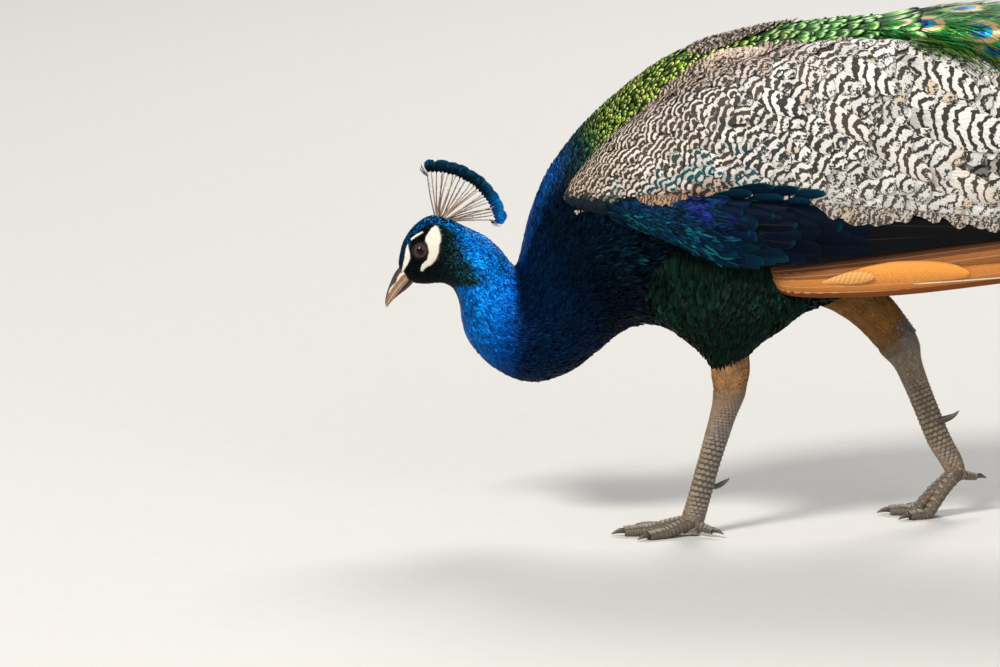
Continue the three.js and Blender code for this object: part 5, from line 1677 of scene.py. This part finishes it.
    # eyespots, each a little proud of its barbs
    centre = tip - 0.62 * pitch
    stretch = eyeHalf * np.where(loose < 1, 1.75, 1.22)
    a, b = at(centre - stretch), at(centre + stretch)
    spotsCoat = layLong(trainSurface, a, b, turn, turn, eyeHalf,
        lambda w: np.sqrt(np.clip(1 - (2 * w - 1) ** 2, 0.0005, 1)), -1.3 + 0.75 * rise, 0.6 + rise, (10, 12), 0.03,
        1.0)
    inside = np.stack([spotsCoat["u"] * np.sqrt(np.clip(1 - (2 * spotsCoat["v"] - 1) ** 2, 0.0005, 1)) * 0.5 + 0.5,
        spotsCoat["v"]], 1)
    gold = mix(greens["gold"], greens["barb"], 0.3 + rng.random(n) * 0.7) * 0.8
    coatPiece("train_eyespots", spotsCoat, "eyespot", "train_feathers", cellBake(spotsCoat),
        gold[spotsCoat["each"]], vane=inside)
    # pale shafts down the middle
    shaft = layLong(trainSurface, at(rootX), at(centre - eyeHalf), turn * 0.98, turn, 0.75, lambda w: 1.1 - 0.6 * w,
        -6.6, 0.2 + 0.8 * rise, (2, 12), 0.6, 1.1)
    coatPiece("train_shafts", shaft, "barbs", "train_feathers", cellBake(shaft), (0.42, 0.36, 0.24), {"gloss": 0.0})
    print("train laid:", n, "feathers")


# Loose barbs round the rim of the train: outwards along both edges, past its end, down over the
# wings at its front, and over its back. Each starts on the surface and leaves it as it goes.
def buildFringe():
    rng = default_rng(98)
    counts = [3300, 900, 1100, 3200]
    m = sum(counts)
    kind = np.repeat(np.arange(4), counts)
    sign = rng.choice([-1.0, 1.0], m)
    any1, any2, any3 = rng.random((3, m))
    t = np.choose(kind, [0.1 + 0.84 * any1, 0.9 + 0.06 * any1, 0.005 + 0.085 * any1, 0.02 + 0.93 * any1])
    turn = np.choose(kind, [1.3 + 0.6 * any2, 1.6 * any2, 0.7 + 0.85 * any2, 1.45 * any2]) * sign
    length = np.choose(kind, [30, 26, 26, 42]) + np.choose(kind, [26, 24, 34, 40]) * any3
    yaw = np.choose(kind, [0.36, 0.1, 0.34, 0.05]) * sign + rng.normal(0, 1, m) * np.choose(kind,
        [0.13, 0.2, 0.2, 0.16])
    lift = np.choose(kind, [1.0, 0.5, 0.6, 1.5]) + np.choose(kind, [5.0, 2.5, 3.0, 6.0]) * rng.random(m)
    wide = np.choose(kind, [0.75, 0.7, 0.62, 0.55]) * (0.7 + 0.6 * rng.random(m))
    coat = layFeathers(trainSurface, t, turn, length, wide, yaw, lambda v: np.clip(1.15 - v ** 2, 0.12, 1), -1.0,
        lift, (1, 5), 0.0, rng.normal(0.1, 0.12, m) * sign, 1.3)
    coat["points"][:, 2] = np.maximum(coat["points"][:, 2], 0.4)
    tone = layered(mix(greens["barb"], greens["gold"], rng.random(m) * 0.9),
        (greens["bronze"], (rng.random(m) < 0.35) * 0.8), (greens["emerald"] * (0.6 + rng.random(m))[:, None],
        smooth(0.16, 0.06, t) * (rng.random(m) < 0.6)),
        (greens["dark"], (rng.random(m) < np.choose(kind, [0.25, 0.25, 0.4, 0.45])) * 0.85))
    # painted shade: each barb darker towards its root
    coatPiece("train_fringe", coat, "barbs", "train_feathers", tuftBake(coat, (0, 1), (-2.0, 2.0)),
        tone[coat["each"]] * (0.5 + 0.6 * coat["v"])[:, None], {"gloss": 0.6})


# Broad scales in rows that lead from the back onto the train.
def buildTrainScales():
    rng = default_rng(99)
    spots = scaleRows(trainSurface, 1, -0.012, 0.031, [0, 1], [11.5, 11.5], lambda k: 1.5, 99)
    t, turn, step = spots[np.argsort(-spots[:, 0])].T
    n = len(t)
    coat = layFeathers(trainSurface, t, turn, step * (2.2 + 0.3 * rng.random(n)), step * 0.66,
        rng.normal(0, 0.08, n), scaleOutline, 0.4, 2.4 + 0.9 * rng.random(n), (6, 8), 0.22, 0.0, 0.7,
        rng.normal(0, 0.08, n))
    each, pick = coat["each"], rng.random(n)
    base = mix((0.03, 0.36, 0.06), (0.16, 0.62, 0.1), rng.random(n))
    # painted highlight colours for the crescents of the scales; the pinkish ones also stand for bronze centres
    glint = layered((0.3, 0.72, 0.2), ((0.74, 0.8, 0.36), pick), ((0.82, 0.62, 0.48), (pick < 0.4) * 0.85))
    # painted shade: each scale darker towards its root
    paintedShade = (0.2 + 0.8 * smooth(0.3, 0.75, coat["v"]))[:, None]
    coatPiece("train_scales", coat, "scales", "train_feathers", cellBake(coat), base[each] * paintedShade, {"gloss": 0.45},
        glint=glint[each])


# Barbs of the train's first feathers that hang over the rear of each wing.
def buildSpray(side):
    rng = default_rng(101)
    m = 420
    t = (5.0 + 2.5 * rng.random(m) ** 1.3) / wingLast
    turn = -0.1 + 0.5 * rng.random(m) ** 1.6
    coat = layFeathers(wings[side], t, turn, 26 + 34 * rng.random(m), 0.55 * (0.7 + 0.6 * rng.random(m)),
        0.34 + rng.normal(0, 0.12, m), lambda v: np.clip(1.15 - v ** 2, 0.12, 1), 2.2, 4.0 + 3.0 * rng.random(m),
        (1, 5), 0.0, rng.normal(0.06, 0.1, m), 0.8)
    tone = layered(greens["barb"], (greens["gold"], rng.random(m) * 0.8),
        (greens["dark"], (rng.random(m) < 0.5) * 0.9))
    # painted shade: each barb darker towards its root
    coatPiece(f"train_spray_{side}", coat, "barbs", "train_feathers", tuftBake(coat, (0, 1), (-0.5, pi)),
        tone[coat["each"]] * (0.6 + 0.5 * coat["v"])[:, None], {"gloss": 0.6})


buildFringe()
buildSpray("left")
buildSpray("right")
buildTrainScales()
buildTrain()


def trainCoreGrow(t, turn):
    return -8.0 * smooth(1.0, 0.93, t) - 22.0 * smooth(0.09, 0.0, t) - 0.4


def trainCoreTint(points, t, turn):
    under = smooth(1.5, 2.1, np.abs(wrapTurn(turn))) * smooth(0.05, 0.15, t)
    return mix((0.01, 0.03, 0.008), (0.045, 0.036, 0.024), under)


plainCore("train_core", trainSurface, 72, trainCoreGrow, "barbs", "train_feathers", trainCoreTint,
    ("train_base", "train_middle", "train_end"), 120, 0.3)


def tailPlane(t, turn, grow=0.0):
    ax, az, bx, bz, w, _, _ = np.moveaxis(column(tailRows, np.asarray(t, float)), -1, 0)
    thick = np.hypot(ax - bx, az - bz)
    lift = thick * 0.3 + 17.0 * turn ** 2 + grow  # the outer quills follow the train's curve
    return np.stack([(ax + bx) / 2 + 0 * turn, w * turn, (az + bz) / 2 + lift], -1)


def buildTail():
    count = 20
    share = (np.arange(count) / (count - 1)) * 2 - 1
    rng = default_rng(95)
    level = np.arange(count) % 2
    coat = layLong(tailPlane, np.zeros(count), 1.0 - 0.12 * np.abs(share) - 0.03 * level + rng.normal(0, 0.012,
        count), share * 0.8, share * 0.88, 17.0, quill, -3.0 - 3.0 * level - np.abs(share), 0.3 - 2.0 * level,
        (6, 40), 0.1)
    each, v = coat["each"], coat["v"]
    tone = np.array([0.11, 0.085, 0.062]) * np.exp(rng.normal(0, 0.1, count))[:, None]
    mottle = smooth(0.2, 0.8, drift(coat["points"], 8.0, 9)) * 0.5
    # painted shade: each quill darker towards its root
    colour = mix(tone[each] * (0.75 + 0.3 * v)[:, None], (0.2, 0.16, 0.12), mottle)
    coatPiece("tail_quills", coat, "tail", "tail_feathers", cellBake(coat), colour, {"gloss": 0.0, "shaft": 0.8},
        ("tail",))


buildTail()
print("tail laid")


crestValues = {"x": -255.5, "z": 313.5, "root": 16, "slope": 0.42, "shaft": 43.5, "front": 1.74, "back": 0.0,
    "count": 24, "lobes": 10, "square": 0.62, "arc": 1.38}


def upright(x, z):
    return np.stack([x, np.zeros(len(x)), z], 1)


def buildCrest():
    v = crestValues
    rng = default_rng(97)
    count = v["count"]
    share = np.linspace(0, 1, count)
    turn = v["front"] + (v["back"] - v["front"]) * share + rng.normal(0, 0.02, count)
    spread = v["root"] * (share - 0.5) + rng.normal(0, 1.0, count)
    root = np.stack([v["x"] + spread, rng.normal(0, 1.0, count), v["z"] - v["slope"] * spread], 1)
    ahead = np.stack([np.cos(turn), rng.normal(0, 0.035, count), np.sin(turn)], 1)
    reach = v["shaft"] + rng.normal(0, 1.2, count)
    side = upright(-np.sin(turn), np.cos(turn))
    bow = rng.normal(0, 0.7, count)
    s = np.linspace(-0.09, 1, 10)
    line = (root[:, None] + ahead[:, None] * (reach[:, None] * s)[..., None]
        + side[:, None] * (bow[:, None] * np.sin(np.pi * np.clip(s, 0, 1)))[..., None])
    around = np.linspace(0, 2 * pi, 6, endpoint=False)
    radius = (0.72 - 0.24 * np.clip(s, 0, 1))[..., None, None]
    ring = side[:, None, None] * np.cos(around)[:, None] + np.array([0, 1.0, 0]) * np.sin(around)[:, None]
    tubes = line[:, :, None] + ring * radius
    faces = manyFaces(count, 10, 6, wrap=True)
    points = tubes.reshape(-1, 3)
    outward = np.repeat(line, 6, axis=1).reshape(-1, 3)
    corner = points[faces]
    facing = np.sum(np.cross(corner[:, 1] - corner[:, 0], corner[:, 3] - corner[:, 0]) * (corner[:, 0]
        - outward[faces[:, 0]]))
    if facing < 0:
        faces = faces[:, ::-1]
    shade = np.repeat(np.linspace(0.75, 1.1, 10), 6)
    tone = mix((0.13, 0.075, 0.045), (0.4, 0.28, 0.19), rng.random(count))
    makePiece("crest_shafts", points, faces, finishes["claw"], "crest_feathers", ("crest",),
        maps={"OFBake": np.stack([np.tile(np.arange(6) / 6.0, count * 10) * 0.03 + np.repeat(share, 60) * 0.95,
        np.tile(np.repeat(np.linspace(0.02, 0.98, 10), 6), count)], 1)},
        tints={"tint": np.repeat(tone, 60, 0) * np.tile(shade, count)[:, None]})
    # grids of one size: strands of barbs and the thin vanes under them
    layers = []

    def addGrids(points, tint, foot, reachShare):
        m, rows, columns = points.shape[:3]
        faces = manyFaces(m, rows, columns)
        u, w = (np.broadcast_to(x, (m, rows, columns)) for x in (np.linspace(0, 1, columns),
            np.linspace(0, 1, rows)[:, None]))
        bake = np.stack([(foot * 0.96 + 0.02)[:, None, None] + (u - 0.5) * 0.003,
            (reachShare * 0.9 + 0.03)[:, None, None] + w * 0.003], -1)
        layers.append((points.reshape(-1, 3), faces, tint.reshape(-1, 3), np.stack([u, w], -1).reshape(-1, 2),
            bake.reshape(-1, 2)))

    def strands(foot, base, axis, aside, forward, sideways, wide, tint, lean, layer=0.0):
        q = np.linspace(0, 1, 5)
        middle = (base[:, None] + axis[:, None] * (forward[:, None] * q ** 1.2)[..., None]
            + aside[:, None] * (sideways[:, None] * (1 - (1 - q) ** 1.6))[..., None] + np.array([0, 1.0, 0])
            * (lean[:, None] * q + layer)[..., None])
        over = unit(np.cross(unit(np.gradient(middle, axis=1)), np.array([0, 1.0, 0])))
        width = (wide * np.array([0.7, 1, 1, 0.85, 0.3]))[:, None]
        points = np.stack([middle - over * width, middle + over * width], 2)
        tint = np.repeat(np.broadcast_to(tint, middle.shape)[:, :, None], 2, 2)
        addGrids(points, tint, foot, norm(base - root.mean(0), axis=1) / 60)

    def fans(places, start, forward, half, barbs, layer, tipHighlight):
        n = len(places)
        half = np.broadcast_to(half, n)
        angle = v["front"] + (v["back"] - v["front"]) * places
        axis, aside = upright(np.cos(angle), np.sin(angle)), upright(-np.sin(angle), np.cos(angle))
        base = np.stack([v["x"] + v["root"] * (places - 0.5), layer,
            v["z"] - v["slope"] * v["root"] * (places - 0.5)], 1) + axis * start
        deep = mix((0.0008, 0.008, 0.018), (0.001, 0.014, 0.036), rng.random(n))
        azure = smooth(0.58, 0.92, places)[:, None]
        deep = deep * (1 - azure) + azure * np.array([0.001, 0.12, 0.45])
        # painted highlight colour for the barbs' tips, azure towards the rear
        edge = np.array(tipHighlight) * (1 - azure) + azure * np.array([0.008, 0.42, 1.0])
        # thin vane under the barbs
        a, q = np.meshgrid(np.linspace(-v["arc"], v["arc"], 13), np.linspace(0, 1, 7))
        ahead = forward * (v["square"] + (1 - v["square"]) * np.cos(a)) * q ** 1.2
        beside = half[:, None, None] * (np.sin(a) * (1 - (1 - q) ** 1.6))[None]
        points = (base[:, None, None] + axis[:, None, None] * ahead[None, ..., None] * 0.97 + aside[:, None, None]
            * beside[..., None] * 0.97)
        # painted shade: each vane darker towards its root
        tone = deep[:, None, None] * (0.5 + 0.5 * q)[None, ..., None]
        addGrids(points, tone + 0 * points, places, np.full(n, start / 60))
        owner = np.repeat(np.arange(n), barbs)
        m = len(owner)
        a = np.tile(np.linspace(-v["arc"], v["arc"], barbs), n) + rng.normal(0, 0.03, m)
        ahead = forward * (v["square"] + (1 - v["square"]) * np.cos(a)) * (0.96 + 0.08 * rng.random(m))
        beside = half[owner] * np.sin(a) * (0.96 + 0.08 * rng.random(m))
        q = np.linspace(0, 1, 5)[None, :, None]
        # painted shade at the barbs' roots, and a painted highlight towards their tips
        tone = deep[owner][:, None] * (0.35 + 0.6 * q)
        lit = smooth(0.5, 0.95, q) * (0.35 + 0.65 * rng.random(m))[:, None, None]
        tone = tone * (1 - lit) + lit * edge[owner][:, None]
        strands(places[owner], base[owner], axis[owner], aside[owner], ahead, beside, 0.42, tone,
            rng.normal(0, 0.8, m), rng.normal(0, 0.35, m)[:, None])
    fans(share, v["shaft"] - 1.5, 10.5, 4.0, 18, rng.normal(0, 0.9, count), (0.003, 0.055, 0.13))
    lobes = (np.arange(v["lobes"]) + 0.5) / v["lobes"] + rng.normal(0, 0.012, v["lobes"])
    ends = np.where((lobes < 0.08) | (lobes > 0.92), 5.6, 7.9)
    fans(lobes, v["shaft"] + 0.3, 11.6, ends, 56, np.where(np.arange(v["lobes"]) % 2, 1.2, -1.2),
        (0.005, 0.15, 0.3))
    # fine wisps along the shafts, and a few loose ones past both ends of the band
    owner = np.repeat(np.arange(count), 14)
    m = len(owner)
    place = 0.4 + 0.55 * rng.random(m)
    strands(share[owner], root[owner] + ahead[owner] * (reach[owner] * place)[:, None], ahead[owner], side[owner],
        1.2 + 1.2 * rng.random(m), rng.choice([-1, 1], m) * (0.6 + 0.8 * rng.random(m)), 0.11, (0.1, 0.07, 0.05),
        rng.normal(0, 0.4, m))
    owner = np.repeat([0, count - 1], 9)
    m = len(owner)
    outwards = np.where(owner == 0, 1.0, -1.0)
    strands(share[owner], root[owner] + ahead[owner] * (reach[owner] * (0.86 + 0.12 * rng.random(m)))[:, None],
        ahead[owner], side[owner], 5.0 + 7.0 * rng.random(m), outwards * (3.0 + 4.0 * rng.random(m)), 0.26,
        (0.004, 0.012, 0.018), rng.normal(0, 0.8, m))
    counts = np.cumsum([0] + [len(layer[0]) for layer in layers])
    points, faces, tint, vane, bake = (np.concatenate(parts)
        for parts in zip(*((layer[0], layer[1] + start, *layer[2:]) for layer, start in zip(layers, counts))))
    makePiece("crest_tips", points, faces, finishes["small"], "crest_feathers", maps={"vane": vane, "OFBake": bake},
        tints={"tint": tint}, values={"gloss": 0.6})


buildCrest()
print("crest made")


def buildThigh(side):
    seed = 111 if side == "left" else 121
    coat, rng = plainCoat(thighs[side], 3900, (0.0, 0.99), fullTurn, lambda t, r,
        p: (0.6 + t) * (1 - smooth(0.8, 0.9, t) * smooth(1.0, 1.7, np.abs(r))), seed,
        lambda t: np.interp(t, [0, 0.7, 1], [22, 15, 10]), lambda t: np.interp(t, [0, 0.7, 1], [3.4, 2.6, 1.5]),
        (2, 4), pointed, -3.2, 1.6)
    n = coat["count"]
    speckle = rng.random(n)
    tone = mix((0.0016, 0.0062, 0.0045), (0.0016, 0.028, 0.015), speckle ** 1.8)
    root = thighs[side](coat["t"], coat["turn"])
    tone = mix(tone, (0.0015, 0.004, 0.003), 0.7 * smooth(0.0, 0.8, drift(root, 26.0, 8)))
    # painted shade: each tuft darker towards its root
    coatPiece(f"thigh_plumage_{side}", coat, "small", "bottle_green_plumage", tuftBake(coat, (0, 1), fullTurn),
        tone[coat["each"]] * (0.35 + 0.75 * coat["v"])[:, None], {"gloss": 0.5})


def buildShank(side):
    seed = 131 if side == "left" else 141
    far = side == "right"
    # the down runs over the joint, further on the front than on the back
    upper, rng = plainCoat(shanks[side], 4100, (0.0 if far else -0.35, 1.0), fullTurn, lambda t, r,
        p: 1 - 0.97 * smooth(0.8, 0.88, t) * smooth(2.0, 2.3, np.abs(r)) * far, seed,
        lambda t: np.interp(t, [0, 0.6, 1], [5.4, 4.2, 3.3]), 0.68, (2, 2), rounded, -0.9, 0.5)
    lower, _ = plainCoat(tarsi[side], 750, (0.0, 0.17), fullTurn, lambda t, r,
        p: smooth(0.17, 0.03, t) * (1 - smooth(1.3, 1.9, np.abs(r)) * far), seed + 3, 3.0, 0.62, (2, 2), rounded,
        -0.7, 0.7)
    coat = joined([upper, lower])
    n = coat["count"]
    tone = mix((0.5, 0.245, 0.1), (0.3, 0.155, 0.068), rng.random(n))
    # painted light: the far leg's down is tinted more orange and less blue, as it looks in the body's shade
    if far:
        tone = tone * [1.05, 0.96, 0.56]
    root = np.concatenate([shanks[side](upper["t"], upper["turn"]), tarsi[side](lower["t"], lower["turn"])])
    tone = tone * (0.9 + 0.35 * drift(root, 12.0, 4))[:, None]
    isLow = np.arange(n) >= upper["count"]
    fade = np.where(isLow, 0.35 + 0.6 * smooth(0.0, 0.12, coat["t"]), 0.35 * smooth(0.75, 1.0, coat["t"]))
    tone = mix(tone, (0.2, 0.155, 0.11), fade)
    bake = tuftBake({**coat, "t": coat["t"] + isLow}, (-0.36, 1.2), fullTurn)  # the lower coat's cells come after
    # painted shade: each tuft darker towards its root
    coatPiece(f"shank_down_{side}", coat, "small", "buff_shank", bake,
        tone[coat["each"]] * (0.55 + 0.5 * coat["v"])[:, None], {"gloss": 0.0})


# Scutes in rings round a limb, each ring half a scute on from the last.
def scuteRings(surface, places, wide, seed, spanTurn=fullTurn, jitter=0.05):
    rng = default_rng(seed)
    out = []
    for i, t in enumerate(places):
        total = ringReach(surface, t, np.linspace(*spanTurn, 121))[-1]
        around = max(int(round(total / wide(t))), 3)
        turn = spanTurn[0] + (np.arange(around) + 0.5 + 0.5 * (i % 2)) / around * (spanTurn[1] - spanTurn[0])
        out.append(np.stack([np.full(around, t) + rng.normal(0, jitter, around) * 0.01, turn,
            np.full(around, total / around)], 1))
    return np.concatenate(out)


def plate(v):
    return np.sqrt(np.clip(1 - np.clip(np.abs(2 * v - 1), 0, 1) ** 3.5, 0.02, 1))


def buildScutes(side):
    sets, tones = [], []
    rng = default_rng(151 if side == "left" else 152)
    surface = tarsi[side]
    line = surface(np.linspace(0, 1, 200), np.zeros(200))
    total = np.sum(norm(np.diff(line, axis=0), axis=1))
    rows = int(total / 3.3)
    spots = scuteRings(surface, (np.arange(rows) + 0.3) / rows, lambda t: 3.6 + 1.2 * smooth(0.3, 0.5, t), 153)
    t, turn, wide = spots.T
    n = len(t)
    front = smooth(1.15, 0.8, np.abs(wrapTurn(turn)))
    coat = layFeathers(surface, t, turn, 4.1 * (1 + 0.25 * front), wide * (0.56 + 0.22 * front),
        rng.normal(0, 0.05, n), plate, -0.75, 0.12 + 0.18 * rng.random(n), (3, 3), 0.12, 0.0, 0.6)
    sets.append(coat)
    tone = mix((0.165, 0.118, 0.075), (0.28, 0.215, 0.145), rng.random(n))
    if side == "left":
        tone = layered(tone, ((0.16, 0.145, 0.145), smooth(0.9, 1.6, np.abs(wrapTurn(turn))) * 0.5),
            ((0.27, 0.155, 0.08), smooth(0.4, 0.0, t) * 0.8))
    else:
        tone = mix(tone, (0.17, 0.155, 0.14), smooth(0.25, 0.05, t) * 0.7)
    tones.append(tone)
    # the back of the joint is scaly up to the end of the down
    if side == "right":
        spots = scuteRings(shanks[side], np.linspace(0.82, 0.99, 5), lambda t: 4.0, 155, (2.0, 2 * pi - 2.0))
        t, turn, wide = spots.T
        coat = layFeathers(shanks[side], t, turn, 4.6, wide * 0.58, rng.normal(0, 0.15, len(t)), plate, -0.7,
            0.5 + 0.3 * rng.random(len(t)), (3, 3), 0.12, 0.0, 0.6)
        sets.append(coat)
        tones.append(mix((0.1, 0.08, 0.06), (0.2, 0.165, 0.13), rng.random(len(t))))
    for name in ("inner", "middle", "outer", "hind"):
        toe, _ = toeLimbs(name, side)
        reach = toeValues[name][1]
        rows = max(int(reach / 3.4), 5)
        spots = scuteRings(toe, (np.arange(rows) + 0.2) / rows * 0.96, lambda t: 30.0 if name != "hind" else 20.0,
            160, (-1.25, 1.25), 0.0)
        tt = spots[::3, 0]
        coat = layFeathers(toe, tt, np.zeros(len(tt)), 5.0, 6.2, 0.0, plate, -0.3, 0.55, (8, 3), 0.0, 0.0, 0.6)
        sets.append(coat)
        tones.append(np.array([0.2, 0.165, 0.125]) * np.exp(rng.normal(0, 0.12, len(tt)))[:, None])
        beads = scuteRings(toe, (np.arange(rows) + 0.5) / rows * 0.95, lambda t: 2.7, 161, (1.15, 2 * pi - 1.15))
        tt, turn, wide = beads.T
        coat = layFeathers(toe, tt, turn, 3.4, wide * 0.62, 0.0, plate, -0.45, 0.1, (2, 2), 0.1, 0.0, 0.6)
        sets.append(coat)
        tones.append(mix((0.155, 0.12, 0.085), (0.2, 0.16, 0.12), rng.random(len(tt))))
    both = joined(sets)
    both["points"][:, 2] = np.maximum(both["points"][:, 2], 0.05)
    coatPiece(f"leg_scutes_{side}", both, "scutes", "leg_scales", cellBake(both),
        np.concatenate(tones)[both["each"]])


def buildClaws(side):
    pieces = [(toeLimbs(name, side)[1], f"claw_{name}_{side}") for name in ("inner", "middle", "outer", "hind")]
    pieces.append((limbed(spurPaths[side], (0, -1, 0)), f"spur_{side}"))
    for surface, node in pieces:
        points, faces, t, _ = closedGrid(surface, np.linspace(0, 1, 30), 20, 0.0)
        points[:, 2] = np.maximum(points[:, 2], 0.02)
        tone = mix((0.055, 0.042, 0.034), (0.17, 0.13, 0.1), smooth(0.35, 1.0, t))
        makePiece(f"{node}_horn", points, faces, finishes["claw"], "claw_horn", (node,), tints={"tint": tone})


for side in sideSigns:
    buildThigh(side)
    buildShank(side)
    buildScutes(side)
    buildClaws(side)
print("legs dressed")
